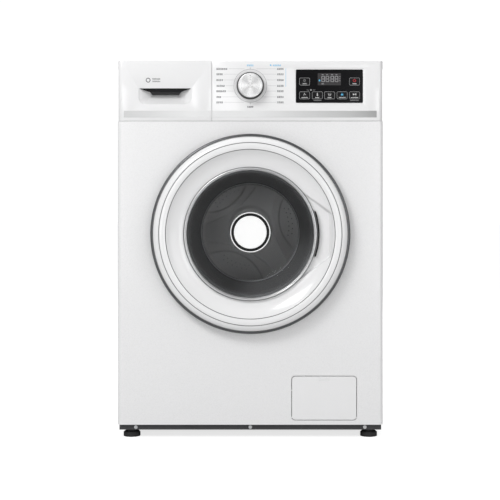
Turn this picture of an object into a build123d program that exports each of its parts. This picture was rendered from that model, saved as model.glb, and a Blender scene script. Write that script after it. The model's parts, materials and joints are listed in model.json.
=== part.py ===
from build123d import *
import math
import os

# Front load washing machine, millimetres. +Z is up, the door faces -Y, and the origin is on
# the floor under the middle of the overall box.

# Overall size
WIDTH = 595.0
HEIGHT = 845.0
DEPTH = 520.0
DOOR_CREST_Y = -DEPTH / 2
SPIGOT_END_Y = DEPTH / 2

# Cabinet
SHEET = 1.2
PANEL_Y = -222.0            # outer face of the front panel
BACK_Y = 248.0              # outer face of the rear panel
SIDE_FRONT_Y = -199.5
BASE_BOTTOM_Z = 17.0
BASE_TOP_Z = 28.7
PANEL_BOTTOM_Z = 29.3
PANEL_TOP_Z = 709.5
WORKTOP_Z = 827.0
WORKTOP_FRONT_Y = -213.5
HALF_W = WIDTH / 2
PANEL_IN_Y = PANEL_Y + SHEET

# Holes of the rear panel, as (x, z, radius)
TRANSIT_HOLES = [(x, z, 9.0) for x in (-205.0, 205.0) for z in (250.0, 655.0)]
INLET_HOLE = (200.0, 775.0, 14.0)
DRAIN_HOLE = (-200.0, 775.0, 12.0)
CORD_HOLE = (-255.0, 745.0, 8.0)

# Control strip across the top
FASCIA_HALF_W = 295.8
FASCIA_BOTTOM_Z = 710.2
FASCIA_T = 2.8
SPLIT_X = -86.0             # joint between the drawer front and the fascia
SPLIT_GAP = 0.7
TRIM_HALF_W = 283.0
TRIM_Z = (718.0, 733.0)
TRIM_GROOVE = 1.2
KNOB_Z = 789.0
KNOB_R = 29.5
KNOB_SHAFT_R = 6.0
DISPLAY_X = (102.4, 251.9)
DISPLAY_Z = (751.0, 825.0)
KEY_W = 23.6
KEY_H = 16.8
KEY_GAP = 0.35
KEY_STEM_R = 2.8
KEYS = {
    "key_timer": (121.6, 798.4),
    "key_power": (233.4, 798.4),
    "key_temperature": (121.6, 767.4),
    "key_spin": (150.1, 767.4),
    "key_rinse": (177.6, 767.4),
    "key_child_lock": (205.6, 767.4),
    "key_start_pause": (233.6, 767.4),
}

# Detergent drawer
HANDLE_X = (-250.0, -132.0)
HANDLE_Z = (748.0, 783.0)
HANDLE_BACK_Y = -198.0
TRAY_X = (-276.0, -104.0)
TRAY_Y = (-196.0, 20.0)
TRAY_Z = (752.0, 818.0)
WALL = 2.0

# Door, turned about the drum's axis
DRUM_Z = 458.0
OPENING_R = 170.0           # hole in the front panel
RING_R = 217.0
RING_IN_R = 149.2
RING_BACK_Y = -236.0
HINGE_X = -200.0
HINGE_Y = -246.0
HINGE_PIN_R = 3.0
GLASS_T = 5.0
POCKET_HALF_H = 72.0
POCKET_FLOOR_Y = -238.0
POCKET_R = (154.2, 183.0)
LEVER_X = 152.0
LEVER_Y = -234.0
HOOK_X = 194.0
HOOK_Y = -236.0

# Service flap at the bottom right
FLAP_X = (92.0, 239.0)
FLAP_Z = (39.0, 139.0)
FLAP_GAP = 1.4
FLAP_T = 3.0
FLAP_CORNER_R = 8.6
FLAP_PIVOT_Y = -219.5
FLAP_PIVOT_Z = 45.5
FILTER_X = 165.0
FILTER_Z = 88.0

# Tub and drum
TUB_R = 262.0
TUB_WALL = 4.0
TUB_FRONT_Y = -172.0
TUB_SPLIT_Y = -10.0
TUB_BACK_Y = 152.0
TUB_MOUTH_R = 172.5
DRUM_R = 244.2
DRUM_FRONT_Y = -152.0
DRUM_BACK_Y = 125.0
DRUM_MOUTH_R = 165.0
SHAFT_R = 17.0
RUNNING_GAP = 0.06
PULLEY_R = 140.0
PULLEY_Y = (190.0, 206.0)
MOTOR_Z = 128.0
MOTOR_R = 62.0
MOTOR_PULLEY_R = 14.0
SPRING_X = 238.0
SPRING_Y = 75.0
DAMPER_X = 150.0
DAMPER_Y = 40.0

# Levelling feet
FOOT_R = 19.0
FOOT_PAD_H = 11.0
FOOT_STUD_R = 5.0
FEET = {
    "foot_front_left": (-267.5, -193.0),
    "foot_front_right": (267.5, -193.0),
    "foot_rear_left": (-267.5, 222.0),
    "foot_rear_right": (267.5, 222.0),
}


def block(xs, ys, zs):
    """Box between two corners."""
    size = [b - a for a, b in (xs, ys, zs)]
    middle = [(a + b) / 2 for a, b in (xs, ys, zs)]
    return Pos(*middle) * Box(*size)


def disc(x, z, radius, ys):
    """Cylinder along Y."""
    return Pos(x, sum(ys) / 2, z) * Rot(90, 0, 0) * Cylinder(radius, ys[1] - ys[0])


def post(x, y, radius, zs):
    """Cylinder along Z."""
    return Pos(x, y, sum(zs) / 2) * Cylinder(radius, zs[1] - zs[0])


def turned(points):
    """Ring turned about the drum's axis from an outline of (radius, y) points."""
    outline = make_face(Polyline(*points, close=True))
    return Pos(0, 0, DRUM_Z) * revolve(outline, Axis.Y)


def tube(radii, ys):
    """Plain ring about the drum's axis."""
    return turned([(radii[0], ys[0]), (radii[1], ys[0]), (radii[1], ys[1]), (radii[0], ys[1])])


def slab_in_plan(points, zs):
    """Vertical prism from an outline of (x, y) points."""
    outline = make_face(Polyline(*points, close=True))
    return Pos(0, 0, zs[0]) * extrude(outline, zs[1] - zs[0])


def upright(x, y, z):
    """Plane that faces the front, with its own x along X and y along Z."""
    return Plane(origin=(x, y, z), x_dir=(1, 0, 0), z_dir=(0, -1, 0))


def rounded_plate(xs, zs, radius, ys):
    """Upright plate with rounded corners, facing Y."""
    face = RectangleRounded(xs[1] - xs[0], zs[1] - zs[0], radius)
    return extrude(upright(sum(xs) / 2, ys[1], sum(zs) / 2) * face, ys[1] - ys[0])


def group(*solids):
    """Separate solids that share one node."""
    return Compound(children=[s.solid() for s in solids])


# ---------------------------------------------------------------- cabinet

def side_panel(side):
    """Side sheet with return flanges, three pressed beads and the spring's hanger."""
    inner = HALF_W - SHEET
    lip = 16.0
    bottom = PANEL_BOTTOM_Z + 0.2
    top = WORKTOP_Z - 0.5
    back = BACK_Y - SHEET - 0.5
    panel = block((inner, HALF_W), (SIDE_FRONT_Y, back), (bottom, top))
    for ys in ((SIDE_FRONT_Y, SIDE_FRONT_Y + SHEET), (back - SHEET, back)):
        panel += block((inner - lip, inner), ys, (bottom, top))
    hanger = (SPRING_X - 15, inner)
    panel += block(hanger, (SPRING_Y - 15, SPRING_Y + 15), (800, 803))
    for bead_y in (-110.0, 24.0, 158.0):
        groove = Pos(HALF_W, bead_y, (bottom + top) / 2) * Rot(0, 90, 0)
        panel -= groove * extrude(SlotOverall(560, 26), 0.5, both=True)
    if side < 0:
        panel = mirror(panel, Plane.YZ)
    return panel


def rear_panel():
    """Back sheet with its service opening and the holes for the fittings."""
    ys = (BACK_Y - SHEET, BACK_Y)
    panel = block((-HALF_W + 0.3, HALF_W - 0.3), ys, (PANEL_BOTTOM_Z + 0.2, WORKTOP_Z - 0.5))
    panel -= rounded_plate((-150, 150), (310, 600), 8, (BACK_Y - 5, BACK_Y + 5))
    for x, z, radius in TRANSIT_HOLES + [INLET_HOLE, DRAIN_HOLE, CORD_HOLE]:
        panel -= disc(x, z, radius, (BACK_Y - 5, BACK_Y + 5))
    return panel


def rear_service_cover():
    """Dished plate screwed over the opening behind the pulley."""
    flange = rounded_plate((-168, 168), (292, 618), 24, (BACK_Y, BACK_Y + SHEET))
    dish = rounded_plate((-154, 154), (306, 604), 9, (BACK_Y, BACK_Y + 8))
    hollow = rounded_plate((-152.8, 152.8), (307.2, 602.8), 8, (BACK_Y - 1, BACK_Y + 6.8))
    return flange + dish - hollow


def front_panel():
    """Front sheet: rounded upright edges, door opening, flap opening, hinge and hook slots."""
    height = PANEL_TOP_Z - PANEL_BOTTOM_Z
    middle_z = (PANEL_TOP_Z + PANEL_BOTTOM_Z) / 2
    outer = Pos(0, PANEL_Y + 40, middle_z) * extrude(RectangleRounded(WIDTH, 80, 9), height / 2, both=True)
    inner = RectangleRounded(WIDTH - 2 * SHEET, 80 - 2 * SHEET, 9 - SHEET)
    outer -= Pos(0, PANEL_Y + 40, middle_z) * extrude(inner, height / 2, both=True)
    panel = outer & block((-300, 300), (PANEL_Y - 1, -200), (0, HEIGHT))
    panel -= disc(0, DRUM_Z, OPENING_R, (PANEL_Y - 5, PANEL_Y + 5))
    panel += tube((OPENING_R, OPENING_R + SHEET), (PANEL_Y + 0.6, -210))
    panel -= rounded_plate(FLAP_X, FLAP_Z, FLAP_CORNER_R, (PANEL_Y - 5, PANEL_Y + 5))
    grown_x = (FLAP_X[0] - SHEET, FLAP_X[1] + SHEET)
    grown_z = (FLAP_Z[0] - SHEET, FLAP_Z[1] + SHEET)
    collar = rounded_plate(grown_x, grown_z, FLAP_CORNER_R + SHEET, (PANEL_Y + 0.6, PANEL_Y + 8))
    collar -= rounded_plate(FLAP_X, FLAP_Z, FLAP_CORNER_R, (PANEL_Y, PANEL_Y + 9))
    panel += collar
    pin_hole = Pos(sum(FLAP_X) / 2, FLAP_PIVOT_Y, FLAP_PIVOT_Z) * Rot(0, 90, 0)
    panel -= pin_hole * Cylinder(1.5 + RUNNING_GAP, FLAP_X[1] - FLAP_X[0] + 20)
    panel -= block((188, 210), (PANEL_Y - 1, PANEL_Y + 2), (DRUM_Z - 14, DRUM_Z + 14))
    for low, high in ((-39.5, -26.5), (26.5, 39.5)):
        panel -= block((-185.5, -172), (PANEL_Y - 1, PANEL_Y + 2), (DRUM_Z + low, DRUM_Z + high))
    return panel


def worktop():
    """Top slab with softened edges."""
    slab = block((-HALF_W, HALF_W), (WORKTOP_FRONT_Y, BACK_Y), (WORKTOP_Z, HEIGHT))
    slab = fillet(slab.edges().filter_by(Axis.Z).sort_by(Axis.Y)[-2:], 6)
    return chamfer(slab.faces().sort_by(Axis.Z)[-1].edges(), 1.5)


def base_frame():
    """Floor tray: plinth skirt, closed floor, tapered foot bosses and the seats for the dampers."""
    xs = (-294.0, 294.0)
    ys = (-215.0, 244.0)
    frame = block(xs, ys, (BASE_BOTTOM_Z, BASE_TOP_Z))
    frame -= block((xs[0] + 3, xs[1] - 3), (ys[0] + 3, ys[1] - 3), (0, BASE_TOP_Z - 3))
    for x, y in FEET.values():
        frame += post(x, y, 12, (BASE_BOTTOM_Z, 42))
        frame += Pos(x, y, 16.5) * Cone(16, 22, 3)
        frame -= post(x, y, FOOT_STUD_R + RUNNING_GAP, (0, 60))
    for x in (-DAMPER_X, DAMPER_X):
        frame += block((x - 22, x + 22), (DAMPER_Y - 22, DAMPER_Y + 22), (BASE_TOP_Z - 1, 34))
    frame += block((130, 200), (-185, -75), (BASE_TOP_Z - 1, 47))
    return frame


def foot(x, y):
    """Levelling foot: pad, lock nut and stud in one."""
    pad = Pos(x, y, FOOT_PAD_H / 2) * Cylinder(FOOT_R, FOOT_PAD_H)
    pad = chamfer(pad.edges().sort_by(Axis.Z)[-1], 2.5)
    nut = Pos(x, y, FOOT_PAD_H) * extrude(RegularPolygon(9.5, 6), 3.6)
    return pad + nut + post(x, y, FOOT_STUD_R, (FOOT_PAD_H, 41))


def water_inlet_valve():
    """Solenoid valve whose threaded nose stands out of the back."""
    x, z, _ = INLET_HOLE
    valve = disc(x, z, 13.22, (BACK_Y - SHEET - 4, SPIGOT_END_Y))
    valve += disc(x, z, 17, (BACK_Y, BACK_Y + 2))
    valve += block((x - 22, x + 22), (BACK_Y - 9, BACK_Y - SHEET), (z - 18, z + 18))
    valve += block((x - 14, x + 14), (190, BACK_Y - 9), (z - 14, z + 14))
    return valve - disc(x, z, 7.5, (225, SPIGOT_END_Y + 1))


def drain_outlet():
    """Hose spigot of the drain, with its collar on the back."""
    x, z, _ = DRAIN_HOLE
    spigot = disc(x, z, 11, (225, SPIGOT_END_Y)) + disc(x, z, 17, (BACK_Y, BACK_Y + 2.5))
    return spigot - disc(x, z, 8.5, (220, 262))


def cord_gland():
    """Grommet of the mains lead."""
    x, z, _ = CORD_HOLE
    gland = disc(x, z, 7.8, (240, 254)) + disc(x, z, 11, (BACK_Y, BACK_Y + 3))
    return gland - disc(x, z, 4, (239, 256))


def transit_bolt_caps():
    """Four plugs over the transit bolt holes."""
    caps = []
    for x, z, radius in TRANSIT_HOLES:
        caps.append(disc(x, z, 15, (BACK_Y, BACK_Y + 3.5)) + disc(x, z, radius - 0.3, (240, BACK_Y)))
    return group(*caps)


def cabinet_screws():
    """Screw heads on the plinth, round the rear panel and on the service cover."""
    places = [(x, 23.0, -217.0, -215.0) for x in (-257.0, 0.0, 257.0)]
    places += [(x, z, BACK_Y, BACK_Y + 2) for x in (-286, 286) for z in (60, 250, 440, 630, 805)]
    places += [(x, z, BACK_Y, BACK_Y + 2) for x in (-95, 95) for z in (42, 815)]
    cover_y = BACK_Y + SHEET
    places += [(x, z, cover_y, cover_y + 2) for x in (-161, 161) for z in (330, 455, 580)]
    return group(*[disc(x, z, 4, (y0, y1)) for x, z, y0, y1 in places])


# ---------------------------------------------------------------- control strip

def strip_shell(x0, x1, return_x):
    """Control strip cover: front plate, top flange, bottom flange and one side return."""
    zs = (FASCIA_BOTTOM_Z, HEIGHT)
    shell = block((x0, x1), (PANEL_Y, PANEL_Y + FASCIA_T), zs)
    shell += block((x0, x1), (PANEL_Y, WORKTOP_FRONT_Y - 0.5), (HEIGHT - FASCIA_T, HEIGHT))
    shell += block((x0, x1), (PANEL_Y, -206), (zs[0], zs[0] + FASCIA_T))
    shell += block(return_x, (PANEL_Y, -201), (zs[0], HEIGHT - 18.6))
    outer = 1 if return_x[1] > 0 else -1
    corner = shell.edges().filter_by(Axis.Z).sort_by(lambda e: (e.center().Y, -outer * e.center().X))
    shell = fillet(corner[0], 2.2)
    groove = (-TRIM_HALF_W, TRIM_HALF_W)
    return shell - block(groove, (PANEL_Y - 1, PANEL_Y + TRIM_GROOVE), TRIM_Z)


def control_fascia():
    """Right part of the control strip, with the knob's hole and the display's pocket."""
    x0 = SPLIT_X
    fascia = strip_shell(x0, FASCIA_HALF_W, (FASCIA_HALF_W - FASCIA_T, FASCIA_HALF_W))
    fascia -= disc(0, KNOB_Z, KNOB_SHAFT_R + 0.08, (PANEL_Y - 5, PANEL_Y + 5))
    pocket_x = (DISPLAY_X[0] - 0.3, DISPLAY_X[1] + 0.3)
    pocket_z = (DISPLAY_Z[0] - 0.3, DISPLAY_Z[1] + 0.3)
    fascia -= rounded_plate(pocket_x, pocket_z, 2.3, (PANEL_Y - 1, PANEL_Y + 1.5))
    fascia -= block((150, 204), (PANEL_Y - 5, PANEL_Y + 5), (789, 818))
    for x, z in KEYS.values():
        fascia -= disc(x, z, KEY_STEM_R + 0.2, (PANEL_Y - 5, PANEL_Y + 5))
    return fascia


def fascia_trim_strip():
    """Metal strip on the fascia."""
    xs = (SPLIT_X, TRIM_HALF_W)
    return block(xs, (PANEL_Y - 0.6, PANEL_Y + TRIM_GROOVE), (TRIM_Z[0] + 0.1, TRIM_Z[1] - 0.1))


def drawer_trim_strip():
    """Metal strip on the drawer front, in line with the one on the fascia."""
    xs = (-TRIM_HALF_W, SPLIT_X - SPLIT_GAP)
    return block(xs, (PANEL_Y - 0.6, PANEL_Y + TRIM_GROOVE), (TRIM_Z[0] + 0.1, TRIM_Z[1] - 0.1))


def display_window():
    """Dark window of the display, with a hole for each key."""
    window = rounded_plate(DISPLAY_X, DISPLAY_Z, 2, (PANEL_Y - 1, PANEL_Y + 1.5))
    for x, z in KEYS.values():
        xs = (x - KEY_W / 2 - KEY_GAP, x + KEY_W / 2 + KEY_GAP)
        zs = (z - KEY_H / 2 - KEY_GAP, z + KEY_H / 2 + KEY_GAP)
        window -= rounded_plate(xs, zs, 3 + KEY_GAP, (PANEL_Y - 3, PANEL_Y + 3))
    return window


def key(x, z):
    """Push key: cap and stem."""
    xs = (x - KEY_W / 2, x + KEY_W / 2)
    zs = (z - KEY_H / 2, z + KEY_H / 2)
    cap = rounded_plate(xs, zs, 3, (PANEL_Y - 1.6, PANEL_Y + 0.4))
    return cap + disc(x, z, KEY_STEM_R, (PANEL_Y + 0.4, -210))


def programme_knob():
    """Rotary knob with its shaft."""
    body = Pos(0, PANEL_Y - 10, KNOB_Z) * Rot(90, 0, 0) * Cone(KNOB_R, KNOB_R - 1.5, 18)
    return body + disc(0, KNOB_Z, KNOB_SHAFT_R, (PANEL_Y - 1, -208))


def knob_face():
    """Spun metal cap on the knob."""
    cap = disc(0, KNOB_Z, 27, (PANEL_Y - 21.5, PANEL_Y - 19))
    return chamfer(cap.edges().sort_by(Axis.Y)[0], 1.2)


# ---------------------------------------------------------------- detergent drawer

def drawer_front():
    """Left part of the control strip, with the scooped hand recess."""
    x0 = -FASCIA_HALF_W
    front = strip_shell(x0, SPLIT_X - SPLIT_GAP, (x0, x0 + FASCIA_T))
    out_x = (HANDLE_X[0] - WALL, HANDLE_X[1] + WALL)
    out_z = (HANDLE_Z[0] - WALL, HANDLE_Z[1] + WALL)
    front += block(out_x, (PANEL_Y + 1, HANDLE_BACK_Y + WALL), out_z)
    front -= block(HANDLE_X, (PANEL_Y - 1, HANDLE_BACK_Y), HANDLE_Z)
    slope = make_face(Polyline((PANEL_Y, HANDLE_Z[0]), (HANDLE_BACK_Y, HANDLE_Z[0]),
                               (HANDLE_BACK_Y, HANDLE_Z[0] + 20), close=True))
    wedge = Pos(HANDLE_X[0], 0, 0) * extrude(Plane.YZ * slope, HANDLE_X[1] - HANDLE_X[0])
    return front + wedge


def drawer_tray():
    """Three-compartment tray."""
    tray = block(TRAY_X, TRAY_Y, TRAY_Z)
    edges = (TRAY_X[0] + WALL, TRAY_X[0] + 56, TRAY_X[0] + 112, TRAY_X[1])
    for left, right in zip(edges, edges[1:]):
        inside = (TRAY_Y[0] + WALL, TRAY_Y[1] - WALL)
        tray -= block((left, right - WALL), inside, (TRAY_Z[0] + WALL, TRAY_Z[1] + 1))
    return tray


def dispenser_housing():
    """Fixed housing that the drawer slides in, open at the front."""
    gap = 3.5
    outer = WALL + gap
    xs = (TRAY_X[0] - outer, TRAY_X[1] + outer)
    zs = (TRAY_Z[0] - outer, TRAY_Z[1] + outer)
    housing = block(xs, (-190, 45), zs)
    in_x = (TRAY_X[0] - gap, TRAY_X[1] + gap)
    in_z = (TRAY_Z[0] - gap, TRAY_Z[1] + gap)
    return housing - block(in_x, (-191, 45 - WALL), in_z)


# ---------------------------------------------------------------- door

def ring_outline():
    """Front skin of the door ring: rounded rim, flat band and the slope down to the glass."""
    rim = ThreePointArc((RING_R, -244), (213.3, -253.4), (203, -259))
    band = ThreePointArc((203, -259), (195.5, DOOR_CREST_Y), (188, -259))
    slope = ThreePointArc((188, -259), (170, -248.6), (RING_IN_R, -243.5))
    return [Line((RING_R, RING_BACK_Y), (RING_R, -244)), rim, band, slope]


def door_outer_ring():
    """White door ring with the hand pocket on the right."""
    back = [Line((RING_IN_R, -243.5), (RING_IN_R, -241)),
            ThreePointArc((RING_IN_R, -241), (169, -246.2), (188, -256.4)),
            Line((188, -256.4), (203, -256.4)),
            ThreePointArc((203, -256.4), (211.3, -251.6), (RING_R - 2.5, -244)),
            Line((RING_R - 2.5, -244), (RING_R - 2.5, RING_BACK_Y)),
            Line((RING_R - 2.5, RING_BACK_Y), (RING_R, RING_BACK_Y))]
    shell = Pos(0, 0, DRUM_Z) * revolve(make_face(Curve() + ring_outline() + back), Axis.Y)
    floor = [Line((RING_IN_R, -243.5), (RING_IN_R, RING_BACK_Y)),
             Line((RING_IN_R, RING_BACK_Y), (RING_R, RING_BACK_Y))]
    filled = Pos(0, 0, DRUM_Z) * revolve(make_face(Curve() + ring_outline() + floor), Axis.Y)
    half = POCKET_HALF_H
    wall_zs = (DRUM_Z - half - 3, DRUM_Z + half + 3)
    shell += filled & block((120, 186), (-262, RING_BACK_Y), wall_zs)
    cavity = tube(POCKET_R, (-262, POCKET_FLOOR_Y))
    shell -= cavity & block((60, 200), (-262, -230), (DRUM_Z - half, DRUM_Z + half))
    slot = tube((RING_IN_R - 1, POCKET_R[0]), (-262, -230))
    shell -= slot & block((60, 200), (-262, -230), (DRUM_Z - 52, DRUM_Z + 52))
    shell -= hinge_notch()
    return shell


def hinge_notch():
    """Room for the fixed hinge ears as the door turns round them."""
    return block((-220, -150), (-240, -220), (DRUM_Z - 46, DRUM_Z + 46))


def door_bezel_ring():
    """Dark metal ring round the door's edge."""
    ring = turned([(217.3, -247), (222.5, -246), (222.5, -241), (216, -234), (206, -234),
                   (206, -235.7), (217.3, -235.7)])
    return ring - hinge_notch()


def door_inner_frame():
    """Rear carrier: closes the ring, clamps the glass and holds the lever's and hook's pivots."""
    frame = tube((141, 205), (-230, -227)) + tube((202, 205), (-233.8, -227))
    frame += tube((141, RING_IN_R - 0.2), (-232, -230))
    for angle in (45, 90, 135, 225, 270, 315):
        x = 197 * math.cos(math.radians(angle))
        z = DRUM_Z + 197 * math.sin(math.radians(angle))
        frame += disc(x, z, 4, (-256.2, -230))
    frame -= hinge_notch() & block((-220, -166), (-240, -220), (0, HEIGHT))
    frame -= block((186, 200.5), (-235, -220), (DRUM_Z - 16, DRUM_Z + 16))
    for low, high in ((-20, -14), (14, 20)):
        frame += block((HOOK_X - 5, HOOK_X + 5), (-240, -229), (DRUM_Z + low, DRUM_Z + high))
    frame += post(HOOK_X, HOOK_Y, 2, (DRUM_Z - 20, DRUM_Z + 20))
    for low, high in ((-60, -53), (53, 60)):
        lug = block((LEVER_X - 2.2, LEVER_X + 7), (-236, -229), (DRUM_Z + low, DRUM_Z + high))
        frame += lug - post(LEVER_X, LEVER_Y, 1.5 + RUNNING_GAP, (0, HEIGHT))
    return frame


def door_glass():
    """Glass bowl with its clamping flange."""
    outer = [(149, -238), (149, -232), (137, -232)]
    wall = [(113, -172), (110, -165.5), (104, -162), (0, -162)]
    inner = [(0, -162 - GLASS_T), (102, -162 - GLASS_T), (106, -170), (108.5, -174)]
    return turned(outer + wall + inner + [(132.5, -234), (134.5, -238)])


def glass_trim_ring():
    """Bright ring between the white slope and the glass."""
    return turned([(142.5, -238), (142.5, -245), (144.5, -247.5), (147.5, -247.5),
                   (148.9, -245.5), (148.9, -238)])


def door_badge():
    """Blank round badge and the thin ring around it, on the bowl's flat face."""
    face_y = -162 - GLASS_T
    badge = disc(0, DRUM_Z, 37.5, (face_y - 3.5, face_y))
    return group(badge, tube((43, 46), (face_y - 1.5, face_y)))


def hinge_arm():
    """Hinge leaf on the door with its pin."""
    arm = post(HINGE_X, HINGE_Y, 6, (DRUM_Z - 26, DRUM_Z + 26))
    arm += block((HINGE_X - 4, -160), (-242.5, -238.5), (DRUM_Z - 24, DRUM_Z + 24))
    arm += block((-166, -152), (-240.5, -230), (DRUM_Z - 24, DRUM_Z + 24))
    return arm + post(HINGE_X, HINGE_Y, HINGE_PIN_R, (DRUM_Z - 42, DRUM_Z + 42))


def hinge_bracket():
    """Fixed hinge: plate behind the front panel and two ears through its slots."""
    bracket = block((-214, -172.5), (PANEL_IN_Y, PANEL_IN_Y + 3), (DRUM_Z - 45, DRUM_Z + 45))
    ear = [(-197, -240.8), (-192.5, -237), (-184.5, -228), (-184.5, -218), (-172.5, -218),
           (-172.5, -231), (-177, -238.5), (-195, -250.5)]
    for low, high in ((-38, -28), (28, 38)):
        zs = (DRUM_Z + low, DRUM_Z + high)
        lug = slab_in_plan(ear, zs) + post(HINGE_X, HINGE_Y, 6, zs)
        bracket += lug - post(HINGE_X, HINGE_Y, HINGE_PIN_R + RUNNING_GAP, (0, HEIGHT))
    return bracket


def door_handle():
    """Release lever in the slot beside the bright ring."""
    half = block((60, 200), (-262, -230), (DRUM_Z - 50, DRUM_Z + 50))
    bar = tube((151.6, 154), (-247.5, -235.5)) & half
    web = (tube((149.6, 170), (-235.5, -232.5)) & half) & block((60, 154), (-262, -230), (0, HEIGHT))
    return bar + web + post(LEVER_X, LEVER_Y, 1.5, (DRUM_Z - 59, DRUM_Z + 59))


def latch_hook():
    """Hook that the door lock catches."""
    zs = (DRUM_Z - 12, DRUM_Z + 12)
    hook = post(HOOK_X, HOOK_Y, 6, zs)
    hook += block((HOOK_X - 3, HOOK_X + 3), (HOOK_Y, -203), (DRUM_Z - 8, DRUM_Z + 8))
    hook += block((HOOK_X - 3, HOOK_X + 8), (-207, -202), (DRUM_Z - 8, DRUM_Z + 8))
    return hook - post(HOOK_X, HOOK_Y, 2 + RUNNING_GAP, (0, HEIGHT))


def door_lock():
    """Lock housing behind the front panel, with the hook's slot."""
    lock = block((178.5, 224), (PANEL_IN_Y, -192), (DRUM_Z - 42, DRUM_Z + 42))
    return lock - block((181.5, 212), (-223, -196), (DRUM_Z - 14, DRUM_Z + 14))


def door_gasket():
    """Rubber bellows between the front panel and the tub's mouth."""
    return turned([(169.8, -220), (169.8, -200), (172.2, -194), (172.2, -178), (168, -178),
                   (168, -192), (162, -198), (129, -203), (127.5, -206.5), (130, -208.5),
                   (158, -211), (163, -220)])


# ---------------------------------------------------------------- service flap

def filter_flap():
    """Flap over the drain filter, with its pivot pins."""
    xs = (FLAP_X[0] + FLAP_GAP, FLAP_X[1] - FLAP_GAP)
    zs = (FLAP_Z[0] + FLAP_GAP, FLAP_Z[1] - FLAP_GAP)
    flap = rounded_plate(xs, zs, FLAP_CORNER_R - FLAP_GAP, (PANEL_Y, PANEL_Y + FLAP_T))
    flap -= rounded_plate((154.6, 176.4), (127.6, 138.3), 1.5, (PANEL_Y - 1, PANEL_Y + 1.8))
    bar = block((158, 173), (PANEL_Y + 0.3, PANEL_Y + 2), (131, 134))
    pins = Pos(sum(FLAP_X) / 2, FLAP_PIVOT_Y, FLAP_PIVOT_Z) * Rot(0, 90, 0)
    pins = pins * Cylinder(1.5, FLAP_X[1] - FLAP_X[0] + 2)
    pins -= block((FLAP_X[0] + 6, FLAP_X[1] - 6), (-230, -210), (30, 60))
    return flap + bar + pins


def drain_pump():
    """Pump with the filter's housing."""
    x, z = FILTER_X, FILTER_Z
    pump = disc(x, z, 40, (-194, -112)) + disc(x, z, 28, (-112, -62))
    pump += disc(x - 38, z + 18, 12, (-150, -126))
    pump += block((x - 30, x + 30), (-180, -80), (47, 70))
    return pump - disc(x, z, 31, (-195, -140))


def drain_filter():
    """Twist-out filter with its grip bar."""
    x, z = FILTER_X, FILTER_Z
    plug = disc(x, z, 30.4, (-202, -184)) + disc(x, z, 26, (-184, -146))
    return plug + block((x - 24, x + 24), (-208, -201), (z - 4, z + 4))


# ---------------------------------------------------------------- tub, drum and drive

def tub_front():
    """Front half of the tub, with the neck that the bellows clips on."""
    y = TUB_FRONT_Y
    half = turned([(TUB_MOUTH_R, y - 12), (TUB_MOUTH_R + 4, y - 12), (TUB_MOUTH_R + 4, y),
                   (TUB_R, y), (TUB_R, TUB_SPLIT_Y - 8), (TUB_R + 6, TUB_SPLIT_Y - 8),
                   (TUB_R + 6, TUB_SPLIT_Y), (TUB_R - TUB_WALL, TUB_SPLIT_Y),
                   (TUB_R - TUB_WALL, y + TUB_WALL), (TUB_MOUTH_R, y + TUB_WALL)])
    return half


def tub_rear():
    """Rear half of the tub: bearing hub, back ribs and the springs' lugs."""
    half = turned([(TUB_R - TUB_WALL, TUB_SPLIT_Y), (TUB_R + 6, TUB_SPLIT_Y),
                   (TUB_R + 6, TUB_SPLIT_Y + 8), (TUB_R, TUB_SPLIT_Y + 8), (TUB_R, TUB_BACK_Y),
                   (48, TUB_BACK_Y), (48, TUB_BACK_Y + 28), (SHAFT_R + RUNNING_GAP, TUB_BACK_Y + 28),
                   (SHAFT_R + RUNNING_GAP, TUB_BACK_Y - TUB_WALL),
                   (TUB_R - TUB_WALL, TUB_BACK_Y - TUB_WALL)])
    rib = block((40, TUB_R - 6), (TUB_BACK_Y - 1, TUB_BACK_Y + 16), (-2, 2))
    for step in range(12):
        half += Pos(0, 0, DRUM_Z) * Rot(0, 30 * step, 0) * rib
    for side in (-1, 1):
        xs = sorted((side * (SPRING_X - 8), side * (SPRING_X + 8)))
        half += block(xs, (SPRING_Y - 6, SPRING_Y + 6), (562, 655))
    return half


def counterweights():
    """Concrete blocks on top of the tub and across its lower front."""
    top = block((-55, 190), (-80, 70), (690, 800)) - disc(0, DRUM_Z, TUB_R + 6.5, (-100, 100))
    low = tube((186, 256), (-202, TUB_FRONT_Y - 0.3))
    low -= block((-300, 300), (-300, 0), (DRUM_Z - 75, HEIGHT))
    return group(top, low)


def suspension_springs():
    """Two springs that hang the tub from the side panels, as tubes of the coils' size."""
    springs = []
    for x in (-SPRING_X, SPRING_X):
        coil = post(x, SPRING_Y, 13, (668, 784)) - post(x, SPRING_Y, 10, (670, 782))
        springs.append(coil + post(x, SPRING_Y, 2, (655.4, 669)) + post(x, SPRING_Y, 2, (783, 799.6)))
    return group(*springs)


def damper_cylinders():
    """Friction dampers' lower halves, on the floor tray."""
    bodies = []
    for x in (-DAMPER_X, DAMPER_X):
        body = post(x, DAMPER_Y, 17, (34, 150)) - post(x, DAMPER_Y, 12, (40, 146))
        bodies.append(body - post(x, DAMPER_Y, 6 + RUNNING_GAP, (140, 160)))
    return group(*bodies)


def damper_rods():
    """Friction dampers' rods, each with its lug under the tub."""
    rods = []
    for x in (-DAMPER_X, DAMPER_X):
        rod = post(x, DAMPER_Y, 6, (62, 232)) + post(x, DAMPER_Y, 11.7, (62, 78))
        lug = block((x - 16, x + 16), (DAMPER_Y - 12, DAMPER_Y + 12), (218, 260))
        rods.append(rod + lug - disc(0, DRUM_Z, TUB_R + 0.3, (0, 80)))
    return group(*rods)


def drive_motor():
    """Motor under the tub, with its two mounting lugs."""
    motor = disc(0, MOTOR_Z, MOTOR_R, (70, 174))
    for y in (84, 148):
        motor += block((-14, 14), (y - 8, y + 8), (MOTOR_Z + MOTOR_R - 8, 195.8))
    return motor - disc(0, MOTOR_Z, 6 + RUNNING_GAP, (150, 180))


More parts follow.
